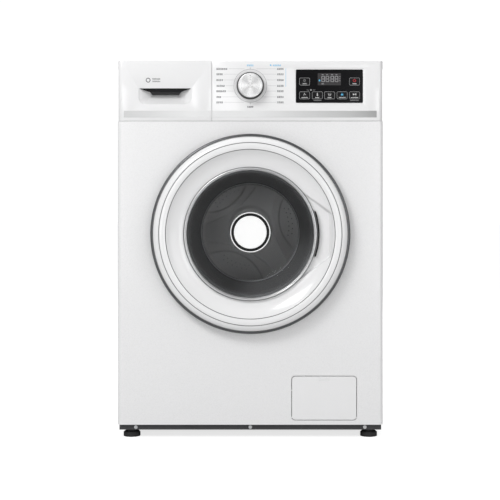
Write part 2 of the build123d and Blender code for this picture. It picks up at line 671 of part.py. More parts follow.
def motor_pulley():
    """Small pulley on the motor's shaft."""
    return disc(0, MOTOR_Z, MOTOR_PULLEY_R, (188, 208)) + disc(0, MOTOR_Z, 6, (152, 189))


def drive_belt():
    """Flat belt round both pulleys."""
    gap = 0.4
    thickness = 3.0
    loops = []
    for extra in (gap, gap + thickness):
        circles = [Circle(PULLEY_R + extra), Pos(0, MOTOR_Z - DRUM_Z) * Circle(MOTOR_PULLEY_R + extra)]
        loops.append(make_hull(circles[0].edges() + circles[1].edges()))
    outline = upright(0, PULLEY_Y[1] - 1, DRUM_Z) * (loops[1] - loops[0])
    return extrude(outline, PULLEY_Y[1] - PULLEY_Y[0] - 2)


def drum_shell():
    """Drum's side wall and front, with its rolled mouth."""
    y = DRUM_FRONT_Y
    t = SHEET
    return turned([(DRUM_MOUTH_R - 3, y + 10), (DRUM_MOUTH_R - 3, y + 2), (DRUM_MOUTH_R, y),
                   (DRUM_R, y), (DRUM_R, DRUM_BACK_Y + 3), (DRUM_R - t, DRUM_BACK_Y + 3),
                   (DRUM_R - t, y + t), (DRUM_MOUTH_R + 0.5, y + t), (DRUM_MOUTH_R - 3 + t, y + 2.7),
                   (DRUM_MOUTH_R - 3 + t, y + 10)])


def drum_back():
    """Drum's rear wall with its three-armed spider and shaft."""
    back = disc(0, DRUM_Z, DRUM_R - SHEET - 0.2, (DRUM_BACK_Y, DRUM_BACK_Y + 3))
    arm = block((0, 228), (DRUM_BACK_Y + 2, DRUM_BACK_Y + 17), (-16, 16))
    for step in range(3):
        back += Pos(0, 0, DRUM_Z) * Rot(0, 120 * step + 30, 0) * arm
    back += disc(0, DRUM_Z, 42, (DRUM_BACK_Y + 2, DRUM_BACK_Y + 19))
    return back + disc(0, DRUM_Z, SHAFT_R, (DRUM_BACK_Y + 18, 212))


def drum_lifters():
    """Three ribs that lift the wash."""
    outline = make_face(Polyline((-34, 239), (34, 239), (22, 205), (8, 194), (-8, 194), (-22, 205),
                                 close=True))
    rib = extrude(upright(0, 112, 0) * outline, 248)
    return group(*[Pos(0, 0, DRUM_Z) * Rot(0, 120 * step, 0) * rib for step in range(3)])


def drum_pulley():
    """Large pulley on the drum's shaft."""
    y0, y1 = PULLEY_Y
    bore = SHAFT_R + RUNNING_GAP
    return turned([(bore, y0 - 2), (30, y0 - 2), (30, y0 + 6), (130, y0 + 6), (130, y0),
                   (PULLEY_R, y0), (PULLEY_R, y1), (130, y1), (130, y0 + 10), (30, y0 + 10),
                   (30, y1 + 2), (bore, y1 + 2)])


SUB_PARTS = {
    "left_side_panel": lambda: side_panel(-1),
    "right_side_panel": lambda: side_panel(1),
    "rear_panel": rear_panel,
    "rear_service_cover": rear_service_cover,
    "front_panel": front_panel,
    "worktop": worktop,
    "base_frame": base_frame,
    "water_inlet_valve": water_inlet_valve,
    "drain_outlet": drain_outlet,
    "cord_gland": cord_gland,
    "transit_bolt_caps": transit_bolt_caps,
    "cabinet_screws": cabinet_screws,
    "control_fascia": control_fascia,
    "fascia_trim_strip": fascia_trim_strip,
    "display_window": display_window,
    "programme_knob": programme_knob,
    "knob_face": knob_face,
    "drawer_front": drawer_front,
    "drawer_trim_strip": drawer_trim_strip,
    "drawer_tray": drawer_tray,
    "dispenser_housing": dispenser_housing,
    "door_outer_ring": door_outer_ring,
    "door_bezel_ring": door_bezel_ring,
    "door_inner_frame": door_inner_frame,
    "door_glass": door_glass,
    "glass_trim_ring": glass_trim_ring,
    "door_badge": door_badge,
    "hinge_arm": hinge_arm,
    "hinge_bracket": hinge_bracket,
    "door_handle": door_handle,
    "latch_hook": latch_hook,
    "door_lock": door_lock,
    "door_gasket": door_gasket,
    "filter_flap": filter_flap,
    "drain_pump": drain_pump,
    "drain_filter": drain_filter,
    "tub_front": tub_front,
    "tub_rear": tub_rear,
    "counterweights": counterweights,
    "suspension_springs": suspension_springs,
    "damper_cylinders": damper_cylinders,
    "damper_rods": damper_rods,
    "drive_motor": drive_motor,
    "motor_pulley": motor_pulley,
    "drive_belt": drive_belt,
    "drum_shell": drum_shell,
    "drum_back": drum_back,
    "drum_lifters": drum_lifters,
    "drum_pulley": drum_pulley,
}
for key_name, key_place in KEYS.items():
    SUB_PARTS[key_name] = lambda place=key_place: key(*place)
for foot_name, foot_place in FEET.items():
    SUB_PARTS[foot_name] = lambda place=foot_place: foot(*place)

os.makedirs("parts", exist_ok=True)
for node, make in SUB_PARTS.items():
    export_step(make(), f"parts/{node}.step")
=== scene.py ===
import json
import random
from math import atan2, cos, hypot, pi, radians, sin, sqrt, tau

import bmesh
import bpy
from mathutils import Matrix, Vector


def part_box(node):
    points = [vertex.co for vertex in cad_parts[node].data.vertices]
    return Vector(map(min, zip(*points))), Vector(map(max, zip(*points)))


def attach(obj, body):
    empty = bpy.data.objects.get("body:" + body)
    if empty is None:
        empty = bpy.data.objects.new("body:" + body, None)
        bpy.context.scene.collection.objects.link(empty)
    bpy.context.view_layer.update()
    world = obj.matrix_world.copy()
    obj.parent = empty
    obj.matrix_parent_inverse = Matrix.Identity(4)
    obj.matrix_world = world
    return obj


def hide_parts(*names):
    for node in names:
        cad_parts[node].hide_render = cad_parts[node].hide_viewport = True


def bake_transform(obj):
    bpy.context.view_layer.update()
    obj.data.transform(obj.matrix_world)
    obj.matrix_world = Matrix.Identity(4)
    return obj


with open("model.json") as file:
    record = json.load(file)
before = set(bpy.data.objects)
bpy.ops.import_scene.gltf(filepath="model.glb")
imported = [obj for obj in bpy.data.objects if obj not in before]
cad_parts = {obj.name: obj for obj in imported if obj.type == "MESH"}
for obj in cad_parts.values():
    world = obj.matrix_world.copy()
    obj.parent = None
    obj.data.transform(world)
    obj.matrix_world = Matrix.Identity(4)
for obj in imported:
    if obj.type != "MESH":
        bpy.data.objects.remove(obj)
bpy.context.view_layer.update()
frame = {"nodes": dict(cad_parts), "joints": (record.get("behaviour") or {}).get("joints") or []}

MM = 0.001
NODES = frame["nodes"]
JOINTS = {joint["name"]: joint for joint in frame["joints"]}


# ---------------------------------------------------------------- places read from the frame

def centre(node):
    """Middle of a node's box."""
    low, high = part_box(node)
    return (low + high) / 2


AXIS_Z = JOINTS["drum_spin"]["pos_m"][2]
KNOB = centre("knob_face")
FASCIA_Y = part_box("control_fascia")[0].y


# ---------------------------------------------------------------- shader nodes

def feed(tree, node, inputs):
    """Gives each of a node's inputs its value, or a link when the value is another node's output."""
    for key, value in inputs.items():
        if isinstance(value, bpy.types.NodeSocket):
            tree.links.new(value, node.inputs[key])
        else:
            node.inputs[key].default_value = value


def add_node(tree, kind, inputs=None, **settings):
    """New shader node with its settings and inputs."""
    node = tree.nodes.new("ShaderNode" + kind)
    for name, value in settings.items():
        setattr(node, name, value)
    feed(tree, node, inputs or {})
    return node


def new_material(name):
    """Material with its node tree and its main shader."""
    material = bpy.data.materials.new(name)
    material.use_nodes = True
    tree = material.node_tree
    return material, tree, tree.nodes["Principled BSDF"]


# ---------------------------------------------------------------- camera, light and floor

def make_camera():
    """Level camera in front of the machine, at the height of the door's upper part."""
    distance, height = 3.0, 0.60
    offset_x = -0.0007
    view_width, middle_z = 1.1205, 0.4209       # what it takes in at the front's plane
    data = bpy.data.cameras.new("view")
    data.sensor_width = 36.0
    data.lens = data.sensor_width * distance / view_width
    data.shift_y = (middle_z - height) / view_width
    data.clip_end = 60
    camera = bpy.data.objects.new("view", data)
    camera.location = (offset_x, FASCIA_Y - distance, height)
    camera.rotation_euler = (radians(90), 0, 0)
    bpy.context.scene.collection.objects.link(camera)
    bpy.context.scene.camera = camera


def area_light(name, place, target, size, power):
    """Soft rectangular lamp that looks at target."""
    data = bpy.data.lights.new(name, "AREA")
    data.shape = "RECTANGLE"
    data.size, data.size_y = size
    data.energy = power
    lamp = bpy.data.objects.new(name, data)
    lamp.location = place
    lamp.rotation_euler = (Vector(target) - Vector(place)).to_track_quat("-Z", "Y").to_euler()
    bpy.context.scene.collection.objects.link(lamp)


def floor_paint():
    """Pale matt floor that the camera sees as bright as the room, and that lights the machine little."""
    paint = finish("floor_paint", (0.55, 0.55, 0.55), roughness=0.8, grain=90, bump=0.02, specular=0.1)
    tree = paint.node_tree
    path = add_node(tree, "LightPath")
    glow = add_node(tree, "MapRange", {"To Min": 0.02, "To Max": 0.74,
                                       "Value": path.outputs["Is Camera Ray"]})
    feed(tree, tree.nodes["Principled BSDF"], {"Emission Color": (1, 1, 1, 1),
                                               "Emission Strength": glow.outputs["Result"]})
    return paint


def make_studio():
    """White room light, a key lamp from the upper left, weaker lamps around it and a pale floor."""
    white = (1, 1, 1, 1)
    room_light, room_seen = 0.48, 1.05
    world = bpy.data.worlds.new("studio")
    bpy.context.scene.world = world
    world.use_nodes = True
    tree = world.node_tree
    lit = tree.nodes["Background"]
    feed(tree, lit, {"Color": white, "Strength": room_light})
    seen = add_node(tree, "Background", {"Color": white, "Strength": room_seen})
    path = add_node(tree, "LightPath")
    mix = add_node(tree, "MixShader", {"Fac": path.outputs["Is Camera Ray"], 1: lit.outputs["Background"],
                                       2: seen.outputs["Background"]})
    feed(tree, tree.nodes["World Output"], {"Surface": mix.outputs["Shader"]})
    area_light("key", (-1.5, -2.3, 2.5), (0, -0.1, 0.45), (1.3, 1.0), 42)
    area_light("front_left", (-1.0, -3.4, 0.7), (0, 0, 0.45), (0.9, 1.2), 9)
    area_light("front_right", (1.0, -3.4, 0.5), (0, 0, 0.45), (0.9, 1.2), 9)
    area_light("fill", (2.3, -2.4, 1.0), (0, 0, 0.45), (1.6, 1.6), 9)
    area_light("top", (0, 0.2, 2.8), (0, 0, 0.4), (2.0, 2.0), 10)
    area_light("behind", (0.4, 2.6, 1.6), (0, 0, 0.4), (1.6, 1.6), 30)
    bpy.ops.mesh.primitive_plane_add(size=24, location=(0, 0, 0))
    floor = bpy.context.object
    floor.name = "floor"
    floor.data.materials.append(floor_paint())
    bpy.context.scene.view_settings.view_transform = "Standard"


# ---------------------------------------------------------------- materials

def ramp_between(tree, low, high, factor):
    """Colour that goes from low to high with factor."""
    mix = add_node(tree, "Mix", {"A": (*low, 1), "B": (*high, 1), "Factor": factor}, data_type="RGBA")
    return mix.outputs["Result"]


def place_of(tree):
    """Place in the row frame."""
    return add_node(tree, "TexCoord").outputs["Object"]


def noise(tree, scale, stretch=(1, 1, 1)):
    """Noise in the row frame, stretched along its axes."""
    mapping = add_node(tree, "Mapping", {"Vector": place_of(tree), "Scale": stretch})
    texture = add_node(tree, "TexNoise", {"Vector": mapping.outputs["Vector"], "Scale": scale,
                                          "Detail": 3.0})
    return texture.outputs["Fac"]


def map_range(tree, value, low, high):
    """A noise value, most of which lies between 0.3 and 0.7, mapped to low..high."""
    limits = {"From Min": 0.3, "From Max": 0.7, "To Min": low, "To Max": high}
    return add_node(tree, "MapRange", {"Value": value, **limits}).outputs["Result"]


def add_relief(tree, shader, height, strength, distance):
    """Bumps on a shader, from a height value."""
    relief = add_node(tree, "Bump", {"Strength": strength, "Distance": distance, "Height": height})
    feed(tree, shader, {"Normal": relief.outputs["Normal"]})


def finish(name, colour, roughness=0.4, metallic=0.0, grain=400.0, bump=0.05, vary=0.03,
           stretch=(1, 1, 1), coat=0.0, distance=0.0002, specular=0.5):
    """Surface whose colour, gloss and height vary finely."""
    material, tree, shader = new_material(name)
    broad = noise(tree, grain / 40, stretch)
    fine = noise(tree, grain, stretch)
    low = tuple(max(0.0, c * (1 - vary)) for c in colour)
    high = tuple(min(1.0, c * (1 + vary)) for c in colour)
    rough = map_range(tree, fine, roughness * 0.85, min(1.0, roughness * 1.15))
    feed(tree, shader, {"Metallic": metallic, "Coat Weight": coat, "Coat Roughness": 0.08,
                        "Specular IOR Level": specular, "Roughness": rough,
                        "Base Color": ramp_between(tree, low, high, broad)})
    add_relief(tree, shader, fine, bump, distance)
    return material


def spun_metal(name, x, z, colour, roughness, lobes, metallic=1.0):
    """Lathe-turned metal: fine rings round the axis at (x, z), with painted highlights: lobes of light
    painted into its colour round the axis.
    """
    darkest, rings_per_metre = 0.72, 2600
    material, tree, shader = new_material(name)
    shift = add_node(tree, "VectorMath", {0: place_of(tree), 1: (x, 0, z)}, operation="SUBTRACT")
    across = add_node(tree, "VectorMath", {0: shift.outputs["Vector"], 1: (1, 0, 1)}, operation="MULTIPLY")
    radius = add_node(tree, "VectorMath", {0: across.outputs["Vector"]}, operation="LENGTH")
    rings = add_node(tree, "TexNoise", noise_dimensions="1D")
    feed(tree, rings, {"W": radius.outputs["Value"], "Scale": rings_per_metre, "Detail": 2})
    parts = add_node(tree, "SeparateXYZ", {"Vector": across.outputs["Vector"]})
    # Painted highlights: the colour swings between a darker and a brighter tone in lobes round the axis.
    angle = add_node(tree, "Math", {0: parts.outputs["Z"], 1: parts.outputs["X"]}, operation="ARCTAN2")
    turn = add_node(tree, "Math", {0: angle.outputs["Value"], 1: lobes}, operation="MULTIPLY")
    wave = add_node(tree, "Math", {0: turn.outputs["Value"]}, operation="COSINE")
    half = add_node(tree, "MapRange", {"From Min": -1, "Value": wave.outputs["Value"]})
    dark = tuple(c * darkest for c in colour)
    rough = map_range(tree, rings.outputs["Fac"], roughness * 0.7, roughness * 1.3)
    feed(tree, shader, {"Metallic": metallic, "Roughness": rough,
                        "Base Color": ramp_between(tree, dark, colour, half.outputs["Result"])})
    add_relief(tree, shader, rings.outputs["Fac"], 0.12, 0.0001)
    return material


def strip_metal():
    """Brushed strip with a painted reflection: brightest left of its middle and darker towards its right
    end.
    """
    material = finish("strip_metal", (0.8, 0.8, 0.8), roughness=0.36, metallic=0.35, grain=700,
                      stretch=(0.02, 1, 1), bump=0.06)
    tree = material.node_tree
    half_length = 0.283
    parts = add_node(tree, "SeparateXYZ", {"Vector": place_of(tree)})
    along = add_node(tree, "MapRange", {"From Min": -half_length, "From Max": half_length,
                                        "Value": parts.outputs["X"]})
    ramp = add_node(tree, "ValToRGB", {"Fac": along.outputs["Result"]})
    # Painted reflection: the strip's brightness at points along its length.
    stops = [(0.0, 0.58), (0.26, 0.80), (0.52, 0.82), (0.72, 0.64), (0.90, 0.50), (1.0, 0.36)]
    while len(ramp.color_ramp.elements) < len(stops):
        ramp.color_ramp.elements.new(0.5)
    for element, (position, level) in zip(ramp.color_ramp.elements, stops):
        element.position = position
        element.color = (level, level * 1.004, level * 1.006, 1)
    feed(tree, tree.nodes["Principled BSDF"], {"Base Color": ramp.outputs["Color"]})
    return material


def window_glass(name, tint):
    """Clear glass: what is behind shows, tinted, under a glossy reflection and a little haze."""
    haze, haze_colour = 0.05, (0.15, 0.152, 0.155, 1)
    material, tree, shader = new_material(name)
    smear = map_range(tree, noise(tree, 14), 0.02, 0.05)
    feed(tree, shader, {"Base Color": haze_colour, "Roughness": smear})
    clear = add_node(tree, "BsdfTransparent", {"Color": (*tint, 1)})
    fresnel = add_node(tree, "Fresnel", {"IOR": 1.5})
    share = add_node(tree, "Math", {0: fresnel.outputs["Fac"], 1: haze}, operation="ADD", use_clamp=True)
    mix = add_node(tree, "MixShader", {"Fac": share.outputs["Value"], 1: clear.outputs["BSDF"],
                                       2: shader.outputs["BSDF"]})
    feed(tree, tree.nodes["Material Output"], {"Surface": mix.outputs["Shader"]})
    return material


FINISHES = {                # colour, roughness, grain and bump, then what else sets a finish apart
    "enamel": ((0.86, 0.86, 0.865), 0.28, 700, 0.04, {"vary": 0.008, "coat": 0.25}),
    "rear_enamel": ((0.74, 0.745, 0.75), 0.42, 500, 0.07, {"vary": 0.015}),
    "gloss_white": ((0.88, 0.88, 0.885), 0.2, 350, 0.015, {"vary": 0.006, "coat": 0.5}),
    "satin_white": ((0.84, 0.84, 0.845), 0.45, 1500, 0.12, {"vary": 0.012}),
    "tray_white": ((0.72, 0.73, 0.74), 0.4, 1200, 0.08),
    "dark_plastic": ((0.045, 0.045, 0.048), 0.6, 1600, 0.25, {"vary": 0.12}),
    "grey_plastic": ((0.34, 0.35, 0.36), 0.5, 1500, 0.2, {"vary": 0.05}),
    "light_grey": ((0.52, 0.53, 0.54), 0.42, 1500, 0.12),
    "black_gloss": ((0.005, 0.005, 0.006), 0.16, 500, 0.01, {"vary": 0.2, "specular": 0.12}),
    "black_key": ((0.008, 0.008, 0.009), 0.24, 1800, 0.05, {"vary": 0.2, "specular": 0.15}),
    # painted shade: black for the shadowed underside of the drawer's grip lip
    "shadow_black": ((0.010, 0.010, 0.011), 0.6, 1500, 0.1, {"vary": 0.15, "specular": 0.15}),
    "knob_black": ((0.009, 0.009, 0.010), 0.35, 1500, 0.08, {"vary": 0.15, "specular": 0.2}),
    "bezel": ((0.13, 0.133, 0.137), 0.3, 900, 0.03, {"metallic": 0.9, "stretch": (1, 0.05, 1)}),
    "bright": ((0.66, 0.665, 0.67), 0.34, 900, 0.02, {"metallic": 0.95}),
    "steel": ((0.52, 0.53, 0.54), 0.34, 800, 0.06, {"metallic": 1.0, "stretch": (0.03, 1, 1)}),
    "zinc": ((0.60, 0.61, 0.62), 0.4, 260, 0.08, {"metallic": 0.9, "vary": 0.10}),
    "drum_side": ((0.40, 0.405, 0.41), 0.3, 900, 0.05, {"metallic": 1.0, "stretch": (1, 0.03, 1)}),
    "rubber": ((0.32, 0.325, 0.33), 0.62, 1300, 0.2, {"vary": 0.15}),
    "black_rubber": ((0.016, 0.016, 0.017), 0.72, 1100, 0.35, {"vary": 0.2}),
    "tub": ((0.40, 0.42, 0.44), 0.55, 900, 0.2, {"vary": 0.06}),
    "concrete": ((0.36, 0.355, 0.34), 0.9, 300, 0.7, {"vary": 0.2, "distance": 0.001}),
    "cast": ((0.42, 0.43, 0.44), 0.5, 500, 0.3, {"metallic": 0.9, "vary": 0.08}),
    "badge": ((0.93, 0.93, 0.93), 0.25, 500, 0.02, {"vary": 0.005, "coat": 0.5}),
    "ink": ((0.05, 0.05, 0.055), 0.55, 1500, 0.05, {"vary": 0.1}),
    "ink_grey": ((0.30, 0.30, 0.305), 0.55, 1500, 0.05),
    "ink_blue": ((0.10, 0.50, 0.80), 0.5, 1500, 0.05),
    "ink_white": ((0.78, 0.78, 0.78), 0.5, 1500, 0.05),
    "ink_red": ((0.70, 0.03, 0.04), 0.5, 1500, 0.05),
    "segment": ((0.42, 0.42, 0.43), 0.5, 1500, 0.05),
    "lcd": ((0.045, 0.043, 0.045), 0.3, 900, 0.03, {"vary": 0.1, "specular": 0.2}),
    # light grey; on the bowl's edge ring it is a painted highlight
    "edge_light": ((0.60, 0.61, 0.62), 0.25, 900, 0.03),
    # painted shade in the creases of the door ring and its trim
    "crease_shade_grey": ((0.16, 0.16, 0.165), 0.6, 1300, 0.05),
}


def make_materials():
    """Every finish by name."""
    made = {}
    for name, (colour, roughness, grain, bump, *rest) in FINISHES.items():
        extra = rest[0] if rest else {}
        made[name] = finish(name, colour, roughness=roughness, grain=grain, bump=bump, **extra)
    made["strip"] = strip_metal()
    made["knob_face"] = spun_metal("knob_face", KNOB.x, KNOB.z, (0.98, 0.98, 0.985), 0.30, 4, 0.55)
    made["drum_band"] = spun_metal("drum_band", 0, AXIS_Z, (1.0, 1.0, 1.0), 0.5, 2, 0.2)
    made["drum_plate"] = spun_metal("drum_plate", 0, AXIS_Z, (0.95, 0.952, 0.955), 0.5, 2, 0.3)
    made["pulley"] = spun_metal("pulley", 0, AXIS_Z, (0.62, 0.63, 0.64), 0.35, 2)
    made["glass"] = window_glass("glass", (0.975, 0.977, 0.98))
    return made


MAT = make_materials()


# ---------------------------------------------------------------- mesh helpers

def to_object(name, bm, material, body, smooth_angle=35):
    """Turns a bmesh into an object that rides on a body."""
    bmesh.ops.recalc_face_normals(bm, faces=bm.faces)
    mesh = bpy.data.meshes.new(name)
    bm.to_mesh(mesh)
    bm.free()
    mesh.materials.append(material)
    piece = bpy.data.objects.new(name, mesh)
    bpy.context.scene.collection.objects.link(piece)
    smooth(piece, smooth_angle)
    if body:
        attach(piece, body)
    return piece


def smooth(piece, angle):
    """Smooth shading, broken at edges sharper than angle degrees."""
    mesh = piece.data
    for face in mesh.polygons:
        face.use_smooth = True
    mesh.update()
    bm = bmesh.new()
    bm.from_mesh(mesh)
    limit = radians(angle)
    for edge in bm.edges:
        if len(edge.link_faces) == 2:
            edge.smooth = edge.calc_face_angle(0) < limit
    bm.to_mesh(mesh)
    bm.free()


def lathe(name, outline, finish_name, body, steps, middle=(0, AXIS_Z), smooth_angle=35):
    """Closed ring turned about an axis along Y, from (radius, y) points in millimetres."""
    bm = bmesh.new()
    x0, z0 = middle
    loops = []
    for step in range(steps):
        angle = tau * step / steps
        c, s = cos(angle), sin(angle)
        loops.append([bm.verts.new((x0 + r * MM * c, y * MM, z0 + r * MM * s)) for r, y in outline])
    count = len(outline)
    for here, there in zip(loops, loops[1:] + loops[:1]):
        for i in range(count):
            j = (i + 1) % count
            bm.faces.new((here[i], here[j], there[j], there[i]))
    bmesh.ops.remove_doubles(bm, verts=bm.verts, dist=1e-7)
    bmesh.ops.dissolve_degenerate(bm, edges=bm.edges, dist=1e-8)
    return to_object(name, bm, MAT[finish_name], body, smooth_angle)


def arc(first, through, last, steps):
    """Points of the circle arc through three points, without the last one."""
    (ax, ay), (bx, by), (cx, cy) = first, through, last
    d = 2 * (ax * (by - cy) + bx * (cy - ay) + cx * (ay - by))
    ux = ((ax**2 + ay**2) * (by - cy) + (bx**2 + by**2) * (cy - ay) + (cx**2 + cy**2) * (ay - by)) / d
    uy = ((ax**2 + ay**2) * (cx - bx) + (bx**2 + by**2) * (ax - cx) + (cx**2 + cy**2) * (bx - ax)) / d
    radius = hypot(ax - ux, ay - uy)
    start = atan2(ay - uy, ax - ux)
    middle = atan2(by - uy, bx - ux)
    end = atan2(cy - uy, cx - ux)
    turn = (end - start) % tau
    if (middle - start) % tau > turn:
        turn -= tau
    points = []
    for step in range(steps):
        angle = start + turn * step / steps
        points.append((ux + radius * cos(angle), uy + radius * sin(angle)))
    return points


def circle(x, z, radius, steps):
    """Points of a circle round (x, z)."""
    return [(x + radius * cos(tau * n / steps), z + radius * sin(tau * n / steps))
            for n in range(steps)]


def add_box(bm, xs, ys, zs):
    """Adds a box to a bmesh."""
    corners = [bm.verts.new((x, y, z)) for x in xs for y in ys for z in zs]
    for face in ((0, 1, 3, 2), (4, 6, 7, 5), (0, 4, 5, 1), (2, 3, 7, 6), (0, 2, 6, 4), (1, 5, 7, 3)):
        bm.faces.new([corners[i] for i in face])


def add_loft(bm, loops):
    """Adds a closed body through loops of equally many points."""
    rows = [[bm.verts.new(point) for point in loop] for loop in loops]
    bm.faces.new(rows[0])
    bm.faces.new(rows[-1][::-1])
    for here, there in zip(rows, rows[1:]):
        for i in range(len(here)):
            j = (i + 1) % len(here)
            bm.faces.new((here[i], here[j], there[j], there[i]))


def add_prism(bm, outline, ys):
    """Adds a prism along Y, from its (x, z) outline."""
    add_loft(bm, [[(x, y, z) for x, z in outline] for y in ys])


def rounded_rect(x0, x1, z0, z1, radius, steps=6):
    """Outline of a rectangle with rounded corners."""
    points = []
    for cx, cz, start in ((x1 - radius, z1 - radius, 0), (x0 + radius, z1 - radius, 90),
                          (x0 + radius, z0 + radius, 180), (x1 - radius, z0 + radius, 270)):
        for step in range(steps + 1):
            angle = radians(start + 90 * step / steps)
            points.append((cx + radius * cos(angle), cz + radius * sin(angle)))
    return points


def add_frame(bm, outer, inner, ys):
    """Adds a flat ring between two outlines with the same number of points."""
    loops = [[bm.verts.new((x, y, z)) for x, z in outline] for y in ys for outline in (outer, inner)]
    front_out, front_in, back_out, back_in = loops
    for i in range(len(outer)):
        j = (i + 1) % len(outer)
        bm.faces.new((front_out[i], front_out[j], front_in[j], front_in[i]))
        bm.faces.new((back_out[j], back_out[i], back_in[i], back_in[j]))
        bm.faces.new((front_out[j], front_out[i], back_out[i], back_out[j]))
        bm.faces.new((front_in[i], front_in[j], back_in[j], back_in[i]))


def add_turned_skin(bm, front, back, hubs=None):
    """Adds a turned shell's faces from the rows of its front and back, closed at the rim and the middle."""
    for i, (near, far) in enumerate(zip(front, back)):
        j = (i + 1) % len(front)
        next_near, next_far = front[j], back[j]
        for k in range(len(near) - 1):
            bm.faces.new((near[k], near[k + 1], next_near[k + 1], next_near[k]))
            bm.faces.new((next_far[k], next_far[k + 1], far[k + 1], far[k]))
        if hubs:
            bm.faces.new((hubs[0], near[0], next_near[0]))
            bm.faces.new((hubs[1], next_far[0], far[0]))
        else:
            bm.faces.new((near[0], next_near[0], next_far[0], far[0]))
        bm.faces.new((next_near[-1], near[-1], far[-1], next_far[-1]))


def smoothstep(low, high, value):
    """0 below low, 1 above high, smooth between."""
    t = min(1.0, max(0.0, (value - low) / (high - low)))
    return t * t * (3 - 2 * t)


# ---------------------------------------------------------------- door

GROOVES_R = (188.0, 203.0)  # radii of the ring's two fine grooves, in mm
GROOVE_DEPTH = 1.9
GROOVE_HALF = 0.9
HINGE_NOTCH_Y = -240.3      # the ring's back stands this far forward beside the hinge, in mm


def ring_profile():
    """Outline of the door ring's front, from the glass out to the rim, as (radius, y) in millimetres."""
    slope = arc((149.2, -240.9), (151.3, -240.9), (153.6, -241.4), 6)
    slope += arc((153.6, -241.4), (171.5, -247.4), (188, -258.6), 26)
    band = arc((188, -258.6), (195.5, -260), (203, -259), 14)
    rim = arc((203, -259), (213.0, -253.6), (217, -244), 16)
    return slope + band + rim + [(217, -244), (217, -240), (217, -236)]


def groove(radius):
    """Depth of the two fine grooves beside the flat band, in millimetres."""
    depth = 0.0
    for middle in GROOVES_R:
        depth += GROOVE_DEPTH * max(0.0, 1 - (abs(radius - middle) / GROOVE_HALF) ** 2)
    return depth


def pocket_share(x, z):
    """1 on the hand pocket's floor, 0 outside it; x and z in millimetres from the door's axis."""
    if x < 100:
        return 0.0
    half = 79 - (x - 140) * 0.72            # half height, which narrows outwards
    wall, middle_z = 5.0, -2
    ends = 1 - smoothstep(half - wall, half, abs(z - middle_z))
    outer = 1 - smoothstep(176, 185, hypot(x, z * 0.55))
    return ends * outer


def ring_stations():
    """Radii at which the door ring is built, each with its y: closer at the grooves and the slot's edge."""
    profile = ring_profile()
    radii = []
    for (r, y), (r2, y2) in zip(profile, profile[1:]):
        pieces = 4 if any(abs(r - middle) < 2.2 for middle in GROOVES_R) else 1
        for k in range(pieces):
            radii.append((r + (r2 - r) * k / pieces, y + (y2 - y) * k / pieces))
    radii.append(profile[-1])
    dense = [(153.9, -241.45), (154.2, -241.5)]
    return [p for p in radii if p[0] < 153.7] + dense + [p for p in radii if p[0] > 154.8]


RING_WALL = 2.3             # the ring's wall, in mm


def ring_depths(radius, y, x, z):
    """The door ring's front and back at a point, in millimetres: grooves, pocket, slot and hinge notch."""
    pocket_floor_y, slot_y, back_y = -237.9, -236.4, -236.0
    slot_r, slot_half, rim_r = 154.1, 51.5, 216
    notch_x, notch_half = -150, 46
    depth = y + groove(radius)
    share = pocket_share(x, z)
    depth += (pocket_floor_y - depth) * share if depth < pocket_floor_y else 0.0
    if radius < slot_r and x > 0 and abs(z) < slot_half:
        depth = slot_y
    rear = min(depth + RING_WALL, back_y) if radius < rim_r else depth
    if x < notch_x and abs(z) < notch_half:
        depth = min(depth, HINGE_NOTCH_Y - 0.1)
        rear = min(rear, HINGE_NOTCH_Y)
    return depth, max(rear, depth + 0.1)


def door_ring():
    """White door ring: grooves, and the scooped hand pocket with its slot for the lever."""
    steps = 760
    side_r = 209                # beyond it the wall's thickness is taken across the rim
    stations = ring_stations()
    bm = bmesh.new()
    front, back = [], []
    for step in range(steps):
        c, s = cos(tau * step / steps), sin(tau * step / steps)
        row, rear = [], []
        for radius, y in stations:
            x, z = radius * c, radius * s
            depth, rear_y = ring_depths(radius, y, x, z)
            row.append(bm.verts.new((x * MM, depth * MM, AXIS_Z + z * MM)))
            inward = radius - RING_WALL if radius > side_r else radius
            rear.append(bm.verts.new((inward * c * MM, rear_y * MM, AXIS_Z + inward * s * MM)))
        front.append(row)
        back.append(rear)
    add_turned_skin(bm, front, back)
    piece = to_object("door_ring", bm, MAT["gloss_white"], "door", 50)
    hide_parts("door_outer_ring")


def groove_shade_lines():
    """Painted shade: dark grey rings at the bottom of the ring's two grooves, where shadow falls."""
    half, thick = 0.62, 1.2
    for number, (middle, y) in enumerate(zip(GROOVES_R, (-258.2, -258.6))):
        outline = [(middle - half, y), (middle + half, y), (middle + half, y + thick),
                   (middle - half, y + thick)]
        piece = lathe("groove_shade_line_" + "ab"[number], outline, "crease_shade_grey", "door", 400)


